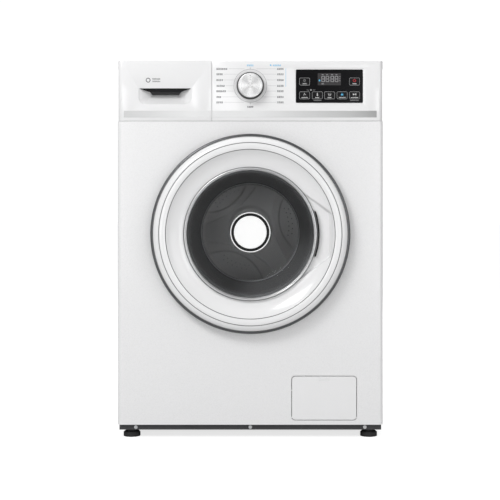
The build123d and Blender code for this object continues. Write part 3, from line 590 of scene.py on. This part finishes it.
def door_rings():
    """Dark bezel, bright trim with its beads and painted shade lines in its creases, and the glass bowl."""
    bezel = [(217.3, -247.2)] + arc((217.3, -247.2), (221.6, -245.9), (222.6, -241.5), 8)
    bezel += [(222.6, -241), (217.4, -238.2)]
    piece = lathe("door_bezel", bezel, "bezel", "door", 360)
    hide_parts("door_bezel_ring")
    trim = [(142.5, -238.1), (142.5, -244.4)]
    trim += arc((142.5, -244.4), (143.3, -246.3), (144.3, -244.9), 6)
    trim += arc((144.4, -244.9), (146.2, -248.2), (148.0, -245.6), 10)
    trim += [(148.0, -245.6), (148.9, -245.2), (148.9, -238.1)]
    piece = lathe("bright_trim", trim, "bright", "door", 360)
    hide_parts("glass_trim_ring")
    # Painted shade: thin dark rings in the trim's creases.
    for number, radius in enumerate((144.35, 149.05)):
        near, far = radius - 0.35, radius + 0.35
        line = [(near, -246.4), (far, -246.4), (far, -240), (near, -240)]
        piece = lathe("trim_crease_shade_" + "ab"[number], line, "crease_shade_grey", "door", 300)
    bowl = [(149, -238), (149, -232), (137.5, -232)]
    bowl += arc((136, -229.5), (124, -199), (113.2, -172.5), 10)
    bowl += arc((113.2, -172.5), (110.4, -165), (103.5, -162), 8)
    bowl += [(103.5, -162), (60, -162), (0, -162), (0, -167), (60, -167), (101.5, -167)]
    bowl += arc((101.5, -167), (106.2, -169.3), (108.4, -174), 6)
    bowl += arc((108.4, -174), (120, -203), (132.2, -234), 10)
    bowl += [(132.2, -234), (134.5, -238)]
    piece = lathe("bowl", bowl, "glass", "door", 300)
    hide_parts("door_glass")


def bowl_edge_highlight():
    """Painted highlight: a thin light grey ring at the bowl's inner end, standing in for the glint along
    the glass edge.
    """
    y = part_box("door_glass")[1].y / MM
    outline = [(111.4, y - 7.5)] + arc((111.4, y - 7.5), (112.6, y - 9.0), (111.6, y - 10.5), 6)
    outline += [(111.6, y - 10.5), (110.6, y - 10.2), (110.4, y - 7.8)]
    piece = lathe("bowl_edge_highlight", outline, "edge_light", "door", 240)


def door_badge():
    """Blank white badge with a soft edge and a painted glow, its dark backing and the thin ring round it.
    """
    face_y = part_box("door_badge")[1].y / MM
    tree = MAT["badge"].node_tree
    # Painted light: the badge material emits a faint glow though it is no lamp, and the ring round the
    # badge shares it.
    feed(tree, tree.nodes["Principled BSDF"], {"Emission Color": (1, 1, 1, 1), "Emission Strength": 0.22})
    badge = [(0, face_y - 3.3), (30, face_y - 3.3)]
    badge += arc((35, face_y - 3.2), (37.0, face_y - 2.6), (37.5, face_y - 1.2), 6)
    badge += [(37.5, face_y - 0.4), (0, face_y - 0.4)]
    piece = lathe("badge", badge, "badge", "door", 160)
    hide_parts("door_badge")
    backing = [(0, face_y - 0.35), (43.5, face_y - 0.35), (43.5, face_y - 0.02), (0, face_y - 0.02)]
    lathe("badge_backing", backing, "knob_black", "door", 160)
    rim = [(43.6, face_y - 0.05)] + arc((43.6, face_y - 0.6), (44.8, face_y - 1.5), (46, face_y - 0.6), 8)
    rim += [(46, face_y - 0.6), (46, face_y - 0.05)]
    lathe("badge_rim", rim, "badge", "door", 160)


def gasket():
    """Rubber bellows with its two folds and sealing lip."""
    outline = [(169.8, -220), (169.8, -202), (171.5, -197), (172.2, -192), (172.2, -178), (168.6, -178)]
    outline += arc((168.6, -184), (163.5, -187), (165.5, -192), 8)
    outline += arc((165.5, -192), (158.5, -195.5), (160.5, -200.5), 8)
    outline += [(158, -201.2), (129, -203.4)]
    outline += arc((129, -203.4), (127.5, -206), (130, -208.5), 6)
    outline += [(130, -208.5), (150, -210), (158, -213), (162, -219), (164, -220)]
    piece = lathe("gasket", outline, "rubber", None, 240)
    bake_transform(piece)
    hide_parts("door_gasket")


def add_wire(bm, path, radius, sides=8):
    """Round wire along a path of points."""
    rings = []
    side = Vector((1, 0, 0))
    for i, point in enumerate(path):
        along = (path[min(i + 1, len(path) - 1)] - path[max(i - 1, 0)]).normalized()
        side = (side - along * side.dot(along)).normalized()
        other = along.cross(side)
        rings.append([bm.verts.new(point + radius * (side * cos(a) + other * sin(a)))
                      for a in (tau * k / sides for k in range(sides))])
    for here, there in zip(rings, rings[1:]):
        for k in range(sides):
            bm.faces.new((here[k], here[k - 1], there[k - 1], there[k]))
    bm.faces.new(rings[0])
    bm.faces.new(rings[-1][::-1])


def springs():
    """Coil springs that hang the tub, with a straight tail at each end."""
    low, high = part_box("suspension_springs")
    wire, coil_r, tail = 0.0015, 0.0115, 0.013
    turns, per_turn = 16, 20
    steps = turns * per_turn
    middle_y = (low.y + high.y) / 2
    bm = bmesh.new()
    for middle_x in (low.x + coil_r + wire, high.x - coil_r - wire):
        path = [Vector((middle_x, middle_y, low.z))]
        for step in range(steps + 1):
            turned = tau * step / per_turn
            out = coil_r * smoothstep(0, per_turn / 2, step) * smoothstep(0, per_turn / 2, steps - step)
            z = low.z + tail + (high.z - low.z - 2 * tail) * step / steps
            path.append(Vector((middle_x + out * cos(turned), middle_y + out * sin(turned), z)))
        path.append(Vector((middle_x, middle_y, high.z)))
        add_wire(bm, path, wire)
    piece = to_object("springs", bm, MAT["steel"], None, 60)
    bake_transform(piece)
    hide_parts("suspension_springs")


# ---------------------------------------------------------------- drum

def drum_wall():
    """Drum's perforated side, with a hole in every other cell of a grid, its radius and its rear edge."""
    low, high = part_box("drum_shell")
    radius = high.x - 0.0006
    y0, y1 = low.y + 0.012, high.y - 0.004
    columns, rows = 108, 18
    hole = 0.0018
    bm = bmesh.new()
    cell_y = (y1 - y0) / rows
    cell_a = tau / columns

    def point(a, y):
        return bm.verts.new((radius * cos(a), y, AXIS_Z + radius * sin(a)))

    grid = [[point(cell_a * i, y0 + cell_y * k) for k in range(rows + 1)] for i in range(columns)]
    for i in range(columns):
        there = grid[(i + 1) % columns]
        for k in range(rows):
            corners = [grid[i][k], there[k], there[k + 1], grid[i][k + 1]]
            if (i + k) % 2:
                bm.faces.new(corners)
                continue
            a, y = cell_a * (i + 0.5), y0 + cell_y * (k + 0.5)
            rim = [point(a + hole / radius * cos(t), y + hole * sin(t))
                   for t in (tau * (n + 0.5) / 8 - pi * 0.75 - tau / 16 for n in range(8))]
            for n, corner in enumerate(corners):
                following = corners[(n + 1) % 4]
                r0, r1, r2 = rim[2 * n], rim[(2 * n + 1) % 8], rim[(2 * n + 2) % 8]
                bm.faces.new((corner, following, r2, r1))
                bm.faces.new((corner, r1, r0))
    return bm, radius, y1


def drum():
    """Drum shell with real holes, its front face and its rolled mouth."""
    bm, radius, rear_y = drum_wall()
    piece = to_object("drum_wall", bm, MAT["drum_side"], None, 30)
    thick = piece.modifiers.new("wall", "SOLIDIFY")
    thick.thickness = 0.0009
    thick.offset = 0
    apply_modifiers(piece)
    smooth(piece, 30)
    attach(piece, "drum")
    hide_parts("drum_shell")
    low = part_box("drum_shell")[0].y / MM
    r = radius / MM
    front = [(162, low + 10), (162, low + 3)] + arc((162, low + 3), (163, low + 0.8), (165.5, low), 6)
    front += [(165.5, low), (200, low), (206, low + 2), (212, low + 2), (218, low), (238, low)]
    front += arc((238, low), (242.6, low + 1.8), (r + 0.4, low + 7), 8)
    front += [(r + 0.4, low + 13), (r - 0.6, low + 13), (r - 0.6, low + 8), (237, low + 1.2)]
    front += [(166, low + 1.2), (163.2, low + 4), (163.2, low + 10)]
    piece = lathe("drum_front", front, "drum_side", "drum", 240)
    rear = rear_y / MM
    end = [(r + 0.4, rear - 1), (r + 0.4, rear + 3), (r - 0.6, rear + 3), (r - 0.6, rear - 1)]
    lathe("drum_seam", end, "drum_side", "drum", 240)


BAND_TURNS = (8, 128, 248)  # directions of the drum back's three bands, in degrees
BAND_RISE = 1.6             # how far the bands stand forward, in mm
PLATE_BEHIND = 12.6         # the plate's face lies this far behind the lifters' ends, in mm


def band_share(x, z, turn):
    """1 on a crescent-shaped band of the drum's back, 0 off it; millimetres from the axis."""
    c, s = cos(turn), sin(turn)
    u, v = x * c + z * s, -x * s + z * c
    inside_wide = 1 - smoothstep(219.0, 221.5, hypot(u - 279.0, v))
    inside_tight = 1 - smoothstep(99.0, 101.5, hypot(u - 173.0, v))
    return inside_wide * (1 - inside_tight)


def drum_plate():
    """Pressed back wall of the drum, with three arc-shaped bands."""
    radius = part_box("drum_back")[1].x / MM - 0.4
    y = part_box("drum_lifters")[1].y / MM + PLATE_BEHIND
    hub_rise, edge_rise, thick = 2.0, 4.0, 0.9
    bm = bmesh.new()
    rings, steps = 130, 420
    front, back = [], []
    for i in range(steps):
        a = tau * i / steps
        row, rear = [], []
        for k in range(1, rings + 1):
            r = radius * k / rings
            x, z = r * cos(a), r * sin(a)
            rise = 0.0
            for turn in BAND_TURNS:
                rise += BAND_RISE * band_share(x, z, radians(turn))
            rise += edge_rise * smoothstep(radius - 12, radius - 2, r)
            rise += hub_rise * (1 - smoothstep(44, 56, r))
            row.append(bm.verts.new((x * MM, (y - rise) * MM, AXIS_Z + z * MM)))
            rear.append(bm.verts.new((x * MM, (y - rise + thick) * MM, AXIS_Z + z * MM)))
        front.append(row)
        back.append(rear)
    hubs = [bm.verts.new((0, (y - hub_rise) * MM, AXIS_Z)),
            bm.verts.new((0, (y - hub_rise + thick) * MM, AXIS_Z))]
    add_turned_skin(bm, front, back, hubs)
    piece = to_object("drum_plate", bm, MAT["drum_plate"], "drum", 60)
    piece.data.materials.append(MAT["drum_band"])
    for face in piece.data.polygons:
        x, z = face.center.x / MM, (face.center.z - AXIS_Z) / MM
        if any(band_share(x, z, radians(turn)) > 0.5 for turn in BAND_TURNS):
            face.material_index = 1


def plate_dimples():
    """Two rows of bright pressed dimples beyond each band of the drum's back."""
    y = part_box("drum_lifters")[1].y + PLATE_BEHIND * MM
    dimple_r, apart = 0.0017, 6.8           # in metres and in degrees
    bm = bmesh.new()
    for turn in BAND_TURNS:
        for radius, count in ((96.5, 7), (105.5, 6)):
            for i in range(count):
                a = radians(turn + apart * (i - (count - 1) / 2))
                x, z = radius * MM * cos(a), AXIS_Z + radius * MM * sin(a)
                add_prism(bm, circle(x, z, dimple_r, 12), (y - 0.0012, y + 0.0004))
    piece = to_object("plate_dimples", bm, MAT["edge_light"], "drum", 30)


# ---------------------------------------------------------------- applying modifiers

def apply_modifiers(piece):
    """Makes a piece's modifiers part of its mesh."""
    bpy.context.view_layer.update()
    graph = bpy.context.evaluated_depsgraph_get()
    mesh = bpy.data.meshes.new_from_object(piece.evaluated_get(graph))
    old = piece.data
    piece.modifiers.clear()
    piece.data = mesh
    bpy.data.meshes.remove(old)


def boolean(piece, other, operation):
    """Joins or cuts a piece with another one, which is then removed."""
    step = piece.modifiers.new(operation, "BOOLEAN")
    step.operation = operation
    step.solver = "EXACT"
    step.object = other
    apply_modifiers(piece)
    bpy.data.objects.remove(other)


# ---------------------------------------------------------------- control strip

def knob():
    """Programme knob: ribbed black skirt, polished chamfer and a spun face with its pointer."""
    base_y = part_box("programme_knob")[0].y / MM
    face_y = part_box("knob_face")[0].y / MM
    back_y = FASCIA_Y / MM - 1.0
    x0, z0 = KNOB.x, KNOB.z
    bm = bmesh.new()
    steps, ribs = 432, 72
    profile = [(30.6, back_y), (30.4, back_y - 2.0), (29.2, back_y - 4.0), (28.3, base_y + 2.0),
               (27.9, base_y), (26.9, base_y - 0.1)]
    rows = []
    for i in range(steps):
        a = tau * i / steps
        rib = 0.28 * cos(ribs * a)
        row = []
        for k, (r, y) in enumerate(profile):
            radius = r + (rib if 2 <= k <= 3 else 0)
            x, z = x0 + radius * MM * cos(a), z0 + radius * MM * sin(a)
            row.append(bm.verts.new((x, y * MM, z)))
        rows.append(row)
    for i in range(steps):
        j = (i + 1) % steps
        for k in range(len(profile) - 1):
            bm.faces.new((rows[i][k], rows[i][k + 1], rows[j][k + 1], rows[j][k]))
    bm.faces.new([row[0] for row in rows])
    bm.faces.new([row[-1] for row in rows][::-1])
    piece = to_object("knob_skirt", bm, MAT["knob_black"], "knob", 40)
    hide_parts("programme_knob")
    chamfer = [(0, face_y + 2.4), (27.3, face_y + 2.4), (27.3, face_y + 1.5)]
    chamfer += arc((27.3, face_y + 1.5), (26.6, face_y + 0.4), (25.4, face_y + 0.02), 6)
    chamfer += [(25.3, face_y + 0.25), (25.0, face_y + 0.3), (24, face_y + 0.22), (0, face_y + 0.1)]
    piece = lathe("knob_cap", chamfer, "knob_face", "knob", 240, (x0, z0), 20)
    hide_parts("knob_face")
    bm = bmesh.new()
    for height in (21.5, 16.5, 12.5):
        width = 0.0011 if height > 20 else 0.0006
        add_box(bm, (x0 - width, x0 + width), ((face_y - 0.02) * MM, (face_y + 0.3) * MM),
                (z0 + height * MM - 0.0009, z0 + height * MM + 0.0009))
    piece = to_object("knob_pointer", bm, MAT["ink_grey"], "knob")
    dial_y = FASCIA_Y / MM
    ring = [(30.9, dial_y + 0.2), (30.9, dial_y - 0.35), (36.2, dial_y - 0.35), (36.6, dial_y + 0.2)]
    piece = lathe("dial_ring", ring, "gloss_white", "cabinet", 200, (x0, z0))
    line = [(36.6, dial_y + 0.2), (36.6, dial_y - 0.12), (37.3, dial_y - 0.12), (37.3, dial_y + 0.2)]
    piece = lathe("dial_line", line, "ink_grey", "cabinet", 200, (x0, z0))


PRINT = 0.00006             # how far printing stands off its surface
CAPTION_FILL = 0.84         # how much of its pitch a caption's block takes up
LINE_HALF = 0.0002          # half the width of a leader line


def print_layer(y):
    """Front and back of printing on a surface that faces -Y at y."""
    return y - PRINT, y + 0.0001


def label_blocks(bm, x0, width, z, height, seed, y):
    """A row of plain blocks that stands for a printed label, without any letters."""
    chance = random.Random(seed)
    count = max(2, round(width / (height * 0.92)))
    pitch = width / count
    for i in range(count):
        left = x0 + i * pitch
        right = left + pitch * CAPTION_FILL
        low = z - height / 2
        bars = chance.choice((2, 3))
        for bar in range(bars):
            z0 = low + height * bar / bars
            inset = pitch * CAPTION_FILL * chance.choice((0.0, 0.0, 0.18))
            add_box(bm, (left + inset, right), print_layer(y), (z0, z0 + height / bars * 0.62))


def fascia_print():
    """Dial labels, their leader lines, the ticks and the two blue marks."""
    y, ys = FASCIA_Y, print_layer(FASCIA_Y)
    letters = 0.0044                            # height of the dial's captions
    left, dial_line_r = -76.0, 37.3             # in millimetres, as are the rows and widths
    rows = [827, 815, 802, 789, 777, 764, 752]
    widths = [25, 14.5, 15, 19, 22, 11, 15]
    labels, lines = bmesh.new(), bmesh.new()
    for number, (z, width) in enumerate(zip(rows, widths)):
        label_blocks(labels, left * MM, width * MM, z * MM, letters, number, y)
        label_blocks(labels, 0.060, 0.015, z * MM, letters, 20 + number, y)
        rise = z - KNOB.z / MM
        beside = abs(rise) < dial_line_r - 2
        reach = sqrt(dial_line_r**2 - rise**2) + 1 if beside else 13.5
        for side, start in ((-1, -left - width - 2.5), (1, 58.0)):
            xs = sorted((side * reach * MM, side * start * MM))
            add_box(lines, xs, ys, (z * MM - LINE_HALF, z * MM + LINE_HALF))
    label_blocks(labels, -0.0072, 0.0145, 0.742, letters, 40, y)
    for z in (KNOB.z + 0.0395, KNOB.z - 0.0395):
        add_box(labels, (-0.0003, 0.0003), ys, (z - 0.0017, z + 0.0017))
    to_object("dial_labels", labels, MAT["ink"], "cabinet")
    to_object("dial_leaders", lines, MAT["ink_grey"], "cabinet")
    blue = bmesh.new()
    label_blocks(blue, -0.0074, 0.0148, 0.835, letters, 50, y)
    label_blocks(blue, 0.0505, 0.0185, 0.835, 0.0040, 51, y)
    add_prism(blue, circle(0.0455, 0.835, 0.0017, 14), ys)
    add_box(blue, (0.0793, 0.0799), ys, (0.787, 0.828))
    to_object("dial_blue_marks", blue, MAT["ink_blue"], "cabinet")
    mark = bmesh.new()
    add_frame(mark, circle(-0.229, 0.8015, 0.0052, 28), circle(-0.229, 0.8015, 0.0036, 28), ys)
    label_blocks(mark, -0.2195, 0.018, 0.8045, 0.0032, 60, y)
    label_blocks(mark, -0.2195, 0.018, 0.7990, 0.0032, 61, y)
    to_object("drawer_marks", mark, MAT["ink"], "drawer")


SEGMENTS = (                # x0, x1, z0, z1 of a digit's seven bars, in a cell 1 wide and 2 high
    (0.12, 0.88, 1.86, 2.0), (0.86, 1.0, 1.08, 1.88), (0.86, 1.0, 0.12, 0.92), (0.12, 0.88, 0.0, 0.14),
    (0.0, 0.14, 0.12, 0.92), (0.0, 0.14, 1.08, 1.88), (0.12, 0.88, 0.93, 1.07),
)


def display():
    """Grey read-out with four seven-segment eights and its small marks."""
    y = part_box("display_window")[0].y
    panel = bmesh.new()
    add_prism(panel, rounded_rect(0.151, 0.203, 0.790, 0.817, 0.0012), print_layer(y))
    to_object("readout", panel, MAT["lcd"], "cabinet")
    digits = bmesh.new()
    front = (y - 2.2 * PRINT, y)
    digit_width, half_height, digits_z = 0.0073, 0.0066, 0.7975
    for x in (0.1595, 0.1690, 0.1800, 0.1895):
        for x0, x1, z0, z1 in SEGMENTS:
            add_box(digits, (x + x0 * digit_width, x + x1 * digit_width), front,
                    (digits_z + z0 * half_height, digits_z + z1 * half_height))
    for z in (0.8015, 0.8065):
        add_box(digits, (0.1777, 0.1785), front, (z - 0.0004, z + 0.0004))
    for x in (0.162, 0.172, 0.183, 0.193):
        add_box(digits, (x - 0.002, x + 0.002), front, (0.8133, 0.8143))
    for z in (0.800, 0.8045, 0.809):
        add_box(digits, (0.1995, 0.2015), front, (z - 0.0006, z + 0.0006))
    add_box(digits, (0.1595, 0.1650), front, (0.7925, 0.7938))
    to_object("readout_segments", digits, MAT["segment"], "cabinet")
    blue = bmesh.new()
    padlock = [(0.1533, 0.799), (0.1567, 0.799), (0.1567, 0.8012), (0.155, 0.8035), (0.1533, 0.8012)]
    add_prism(blue, padlock, front)
    to_object("readout_lock_sign", blue, MAT["ink_blue"], "cabinet")
    small = bmesh.new()
    label_blocks(small, 0.1262, 0.006, 0.7795, 0.0016, 70, y)
    add_box(small, (0.134, 0.1375), (y - PRINT, y), (0.7778, 0.7812))
    label_blocks(small, 0.1395, 0.006, 0.7795, 0.0016, 71, y)
    label_blocks(small, 0.1415, 0.018, 0.7563, 0.0022, 72, y)
    label_blocks(small, 0.2235, 0.020, 0.7563, 0.0022, 73, y)
    to_object("display_captions", small, MAT["ink_grey"], "cabinet")


def sign_clock(bm, x, z, ys):
    """Ring with two hands."""
    add_frame(bm, circle(x, z, 0.0029, 24), circle(x, z, 0.0023, 24), ys)
    add_box(bm, (x - 0.0003, x + 0.0003), ys, (z, z + 0.0018))
    add_box(bm, (x, x + 0.0014), ys, (z - 0.0003, z + 0.0003))


def sign_power(bm, x, z, ys):
    """Broken ring with a stroke."""
    count = 22
    outer, inner = [], []
    for n in range(count + 1):
        t = radians(125 + 290 * n / count)
        outer.append((x + 0.0033 * cos(t), z + 0.0033 * sin(t)))
        inner.append((x + 0.0025 * cos(t), z + 0.0025 * sin(t)))
    add_prism(bm, outer + inner[::-1], ys)
    add_box(bm, (x - 0.0004, x + 0.0004), ys, (z + 0.0008, z + 0.0040))


def sign_thermometer(bm, x, z, ys):
    """Stem and bulb."""
    add_prism(bm, circle(x, z - 0.0015, 0.0016, 18), ys)
    add_box(bm, (x - 0.0006, x + 0.0006), ys, (z - 0.0008, z + 0.0035))


def sign_spiral(bm, x, z, ys):
    """Three short arms round a centre."""
    for arm in range(3):
        t = radians(90 + 120 * arm)
        c, s = cos(t), sin(t)
        outline = [(0.0008, -0.0006), (0.0032, -0.0002), (0.0032, 0.0008), (0.0008, 0.0006)]
        add_prism(bm, [(x + u * c - v * s, z + u * s + v * c) for u, v in outline], ys)


def sign_basin(bm, x, z, ys):
    """Open basin with a wave."""
    outline = [(-0.0034, 0.0020), (-0.0026, -0.0022), (0.0026, -0.0022), (0.0034, 0.0020), (0.0027, 0.0020),
               (0.0020, -0.0015), (-0.0020, -0.0015), (-0.0027, 0.0020)]
    add_prism(bm, [(x + u, z + v) for u, v in outline], ys)
    add_box(bm, (x - 0.0018, x + 0.0018), ys, (z + 0.0005, z + 0.0010))


def sign_lock(bm, x, z, ys):
    """Padlock."""
    add_box(bm, (x - 0.0024, x + 0.0024), ys, (z - 0.0024, z + 0.0006))
    outer = [(x + 0.0018 * cos(pi * n / 10), z + 0.0008 + 0.0022 * sin(pi * n / 10))
             for n in range(11)]
    inner = [(x + 0.0012 * cos(pi * n / 10), z + 0.0008 + 0.0016 * sin(pi * n / 10))
             for n in range(11)]
    add_prism(bm, outer + inner[::-1], ys)


def sign_play(bm, x, z, ys):
    """Triangle and two bars."""
    add_prism(bm, [(x - 0.0038, z - 0.0022), (x - 0.0004, z), (x - 0.0038, z + 0.0022)], ys)
    for left in (0.0008, 0.0026):
        add_box(bm, (x + left, x + left + 0.0010), ys, (z - 0.0022, z + 0.0022))


SIGNS = {                   # each key's sign, its ink and the width of its caption in millimetres
    "key_timer": (sign_clock, "ink_grey", 9), "key_power": (sign_power, "ink_red", 9),
    "key_temperature": (sign_spiral, "ink_white", 14), "key_spin": (sign_thermometer, "ink_white", 9),
    "key_rinse": (sign_basin, "ink_white", 9), "key_child_lock": (sign_lock, "ink_blue", 15),
    "key_start_pause": (sign_play, "ink_white", 17),
}


def key_faces():
    """Outline, sign and blank caption of each key."""
    for number, (name, (sign, ink, caption)) in enumerate(SIGNS.items()):
        low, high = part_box(name)
        x, z = (low.x + high.x) / 2, (low.z + high.z) / 2
        ys = print_layer(low.y)
        outline = bmesh.new()
        outer = rounded_rect(low.x + 0.0001, high.x - 0.0001, low.z + 0.0001, high.z - 0.0001, 0.0028)
        inner = rounded_rect(low.x + 0.0008, high.x - 0.0008, low.z + 0.0008, high.z - 0.0008, 0.0021)
        add_frame(outline, outer, inner, ys)
        piece = to_object(name + "_outline", outline, MAT["ink_grey"], name + "_body")
        drawing = bmesh.new()
        sign(drawing, x, z + 0.0022, ys)
        piece = to_object(name + "_sign", drawing, MAT[ink], name + "_body")
        words = bmesh.new()
        width = caption * MM
        label_blocks(words, x - width / 2, width, z - 0.0048, 0.0024, 80 + number, low.y)
        piece = to_object(name + "_caption", words, MAT["ink_white"], name + "_body")


def recess_loop(depth, grow):
    """Outline of the drawer's hand recess at a depth of 0 to 1, grown outwards by grow millimetres."""
    ease = depth ** 0.85
    left = -250 + 29 * ease - grow
    right = -132 - 29 * ease + grow
    low = 748 + 21 * depth ** 1.1 - grow
    high = 783 + grow
    radius = max(1.5, 13 * (1 - depth) + 1.5) + grow
    points = []
    for cx, cz, start, r in ((right - 2, high - 2, 0, 2.0), (left + 2, high - 2, 90, 2.0),
                             (left + radius, low + radius, 180, radius),
                             (right - radius, low + radius, 270, radius)):
        for step in range(9):
            angle = radians(start + 90 * step / 8)
            points.append((cx + r * cos(angle), cz + r * sin(angle)))
    return points


def loft(outlines):
    """White body through (x, z) outlines in millimetres, each with its y in metres."""
    bm = bmesh.new()
    add_loft(bm, [[(x * MM, y, z * MM) for x, z in outline] for outline, y in outlines])
    return to_object("loft", bm, MAT["gloss_white"], None)


PLATE = 0.0028              # thickness of the two front plates


def rounded_front(x0, x1, left):
    """Plan outline of a front plate whose left or right end curves back."""
    radius, back = 0.0085, FASCIA_Y + 0.0090
    end = x0 if left else x1
    side = 1 if left else -1
    curve = []
    for step in range(9):
        a = radians(90 * step / 8)
        curve.append((end + side * radius * (1 - sin(a)), FASCIA_Y + radius * (1 - cos(a))))
    other = x1 if left else x0
    inner = FASCIA_Y + PLATE
    heel = [(end, back), (end + side * PLATE, back), (end + side * 0.0105, inner)]
    return [(other, inner), (other, FASCIA_Y)] + curve + heel


def front_flanges(name, low, high, left, body):
    """Turned-back edges of a front plate: top, bottom and its rounded end."""
    plate_back = FASCIA_Y + PLATE
    span = (low.x + 0.009, high.x) if left else (low.x, high.x - 0.009)
    end = (low.x, low.x + PLATE) if left else (high.x - PLATE, high.x)
    flanges = bmesh.new()
    add_box(flanges, span, (plate_back - 0.001, -0.2142), (high.z - PLATE, high.z - 0.0002))
    add_box(flanges, span, (plate_back - 0.001, -0.207), (low.z + 0.0002, low.z + PLATE))
    add_box(flanges, end, (FASCIA_Y + 0.0085, -0.202), (low.z, high.z - 0.0186))
    to_object(name, flanges, MAT["gloss_white"], body)


def fascia():
    """Right part of the control strip, with the display's pocket."""
    low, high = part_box("control_fascia")
    bm = bmesh.new()
    add_loft(bm, [[(x, y, z) for x, y in rounded_front(low.x, high.x, False)] for z in (low.z, high.z)])
    piece = to_object("fascia_face", bm, MAT["gloss_white"], None)
    inner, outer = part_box("display_window")
    hole = bmesh.new()
    gap = 0.0003
    outline = rounded_rect(inner.x - gap, outer.x + gap, inner.z - gap, outer.z + gap, 0.0023)
    add_prism(hole, outline, (FASCIA_Y - 0.001, FASCIA_Y + 0.0015))
    boolean(piece, to_object("hole", hole, MAT["gloss_white"], None), "DIFFERENCE")
    soften(piece, 0.0007)
    smooth(piece, 32)
    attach(piece, "cabinet")
    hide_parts("control_fascia")
    front_flanges("fascia_flanges", low, high, False, "cabinet")


def drawer():
    """Drawer front with the scooped recess, cut from a plate with softened edges."""
    low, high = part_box("drawer_front")
    bm = bmesh.new()
    add_loft(bm, [[(x, y, z) for x, y in rounded_front(low.x, high.x, True)] for z in (low.z, high.z)])
    piece = to_object("drawer_face", bm, MAT["gloss_white"], None)
    shell = [(recess_loop(t, 1.8), FASCIA_Y + 0.0005 + 0.0240 * t) for t in (0, 0.15, 0.4, 0.7, 0.95)]
    shell.append((recess_loop(1.0, 1.6), FASCIA_Y + 0.0256))
    boolean(piece, loft(shell), "UNION")
    hollow = [(recess_loop(0, 1.4), FASCIA_Y - 0.004), (recess_loop(0, 0.6), FASCIA_Y - 0.0002),
              (recess_loop(0, 0.0), FASCIA_Y + 0.0008)]
    hollow += [(recess_loop(t, 0), FASCIA_Y + 0.0008 + 0.0230 * t) for t in (0.08, 0.2, 0.4, 0.6, 0.8, 1.0)]
    boolean(piece, loft(hollow), "DIFFERENCE")
    soften(piece, 0.0009)
    smooth(piece, 32)
    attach(piece, "drawer")
    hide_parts("drawer_front")
    front_flanges("drawer_flanges", low, high, True, "drawer")


def wedge(name, near, far, finish_name):
    """Body between two four-sided outlines, each given by its four x, its top, its low and its y."""
    loops = []
    for top_left, top_right, low_right, low_left, top, low, y in (near, far):
        loops.append([(top_left, y, top), (top_right, y, top), (low_right, y, low), (low_left, y, low)])
    bm = bmesh.new()
    add_loft(bm, loops)
    return to_object(name, bm, MAT[finish_name], "drawer", 20)


def recess_shade_liner():
    """Painted shade: a black sheet under the drawer's grip lip and a dark sheet at the back of its hand
    recess, where the undercut lies in shadow.
    """
    front, back = FASCIA_Y + 0.0014, FASCIA_Y + 0.0236
    lip_top, lip_low = 0.78285, 0.7757
    lip = wedge("grip_lip_shade", (-0.2493, -0.1327, -0.1530, -0.2290, lip_top, lip_low, front),
                (-0.2300, -0.1520, -0.1600, -0.2220, lip_top, lip_low, back), "shadow_black")
    rear = wedge("recess_back_shade", (-0.2262, -0.1558, -0.1608, -0.2212, 0.7758, 0.7694, back - 0.006),
                 (-0.2222, -0.1598, -0.1612, -0.2208, 0.7758, 0.7690, back), "dark_plastic")


def soften(piece, width):
    """Rounds a piece's sharp edges."""
    bevel = piece.modifiers.new("soften", "BEVEL")
    bevel.width = width
    bevel.segments = 2
    bevel.limit_method = "ANGLE"
    bevel.angle_limit = radians(50)
    bevel.use_clamp_overlap = True
    apply_modifiers(piece)


# ---------------------------------------------------------------- finishes of the carried-over nodes

CAD_FINISH = {              # the keys are black, and what isn't listed is satin white
    "enamel": ("left_side_panel", "right_side_panel", "front_panel"),
    "rear_enamel": ("rear_panel", "rear_service_cover"),
    "dark_plastic": ("base_frame", "drain_outlet", "cord_gland", "transit_bolt_caps", "door_lock",
                     "damper_cylinders"),
    "zinc": ("cabinet_screws",),
    "gloss_white": ("control_fascia", "filter_flap", "door_outer_ring"),
    "strip": ("fascia_trim_strip", "drawer_trim_strip"),
    "black_gloss": ("display_window",),
    "tray_white": ("drawer_tray", "dispenser_housing", "drum_lifters"),
    "light_grey": ("door_inner_frame",),
    "steel": ("hinge_arm", "hinge_bracket", "latch_hook", "suspension_springs", "damper_rods"),
    # The door handle's lever is black, and its black also stands in for the shade in the slot under the
    # trim ring.
    "knob_black": ("door_handle",),
    "grey_plastic": ("drain_filter",),
    "tub": ("tub_front", "tub_rear"),
    "concrete": ("counterweights",),
    "cast": ("drive_motor",),
    "pulley": ("motor_pulley", "drum_pulley"),
    "black_rubber": ("drive_belt", "foot_front_left", "foot_front_right", "foot_rear_left",
                     "foot_rear_right"),
    "drum_plate": ("drum_back",),
}


def finish_cad_nodes():
    """Gives each carried-over node its finish."""
    chosen = {node: key for key, nodes in CAD_FINISH.items() for node in nodes}
    for name, node in NODES.items():
        key = chosen.get(name, "black_key" if name.startswith("key_") else "satin_white")
        node.data.materials.clear()
        node.data.materials.append(MAT[key])
        smooth(node, 30)


make_camera()
make_studio()
finish_cad_nodes()
door_ring()
groove_shade_lines()
door_rings()
bowl_edge_highlight()
door_badge()
gasket()
springs()
drum()
drum_plate()
plate_dimples()
knob()
fascia_print()
display()
key_faces()
fascia()
drawer()
recess_shade_liner()
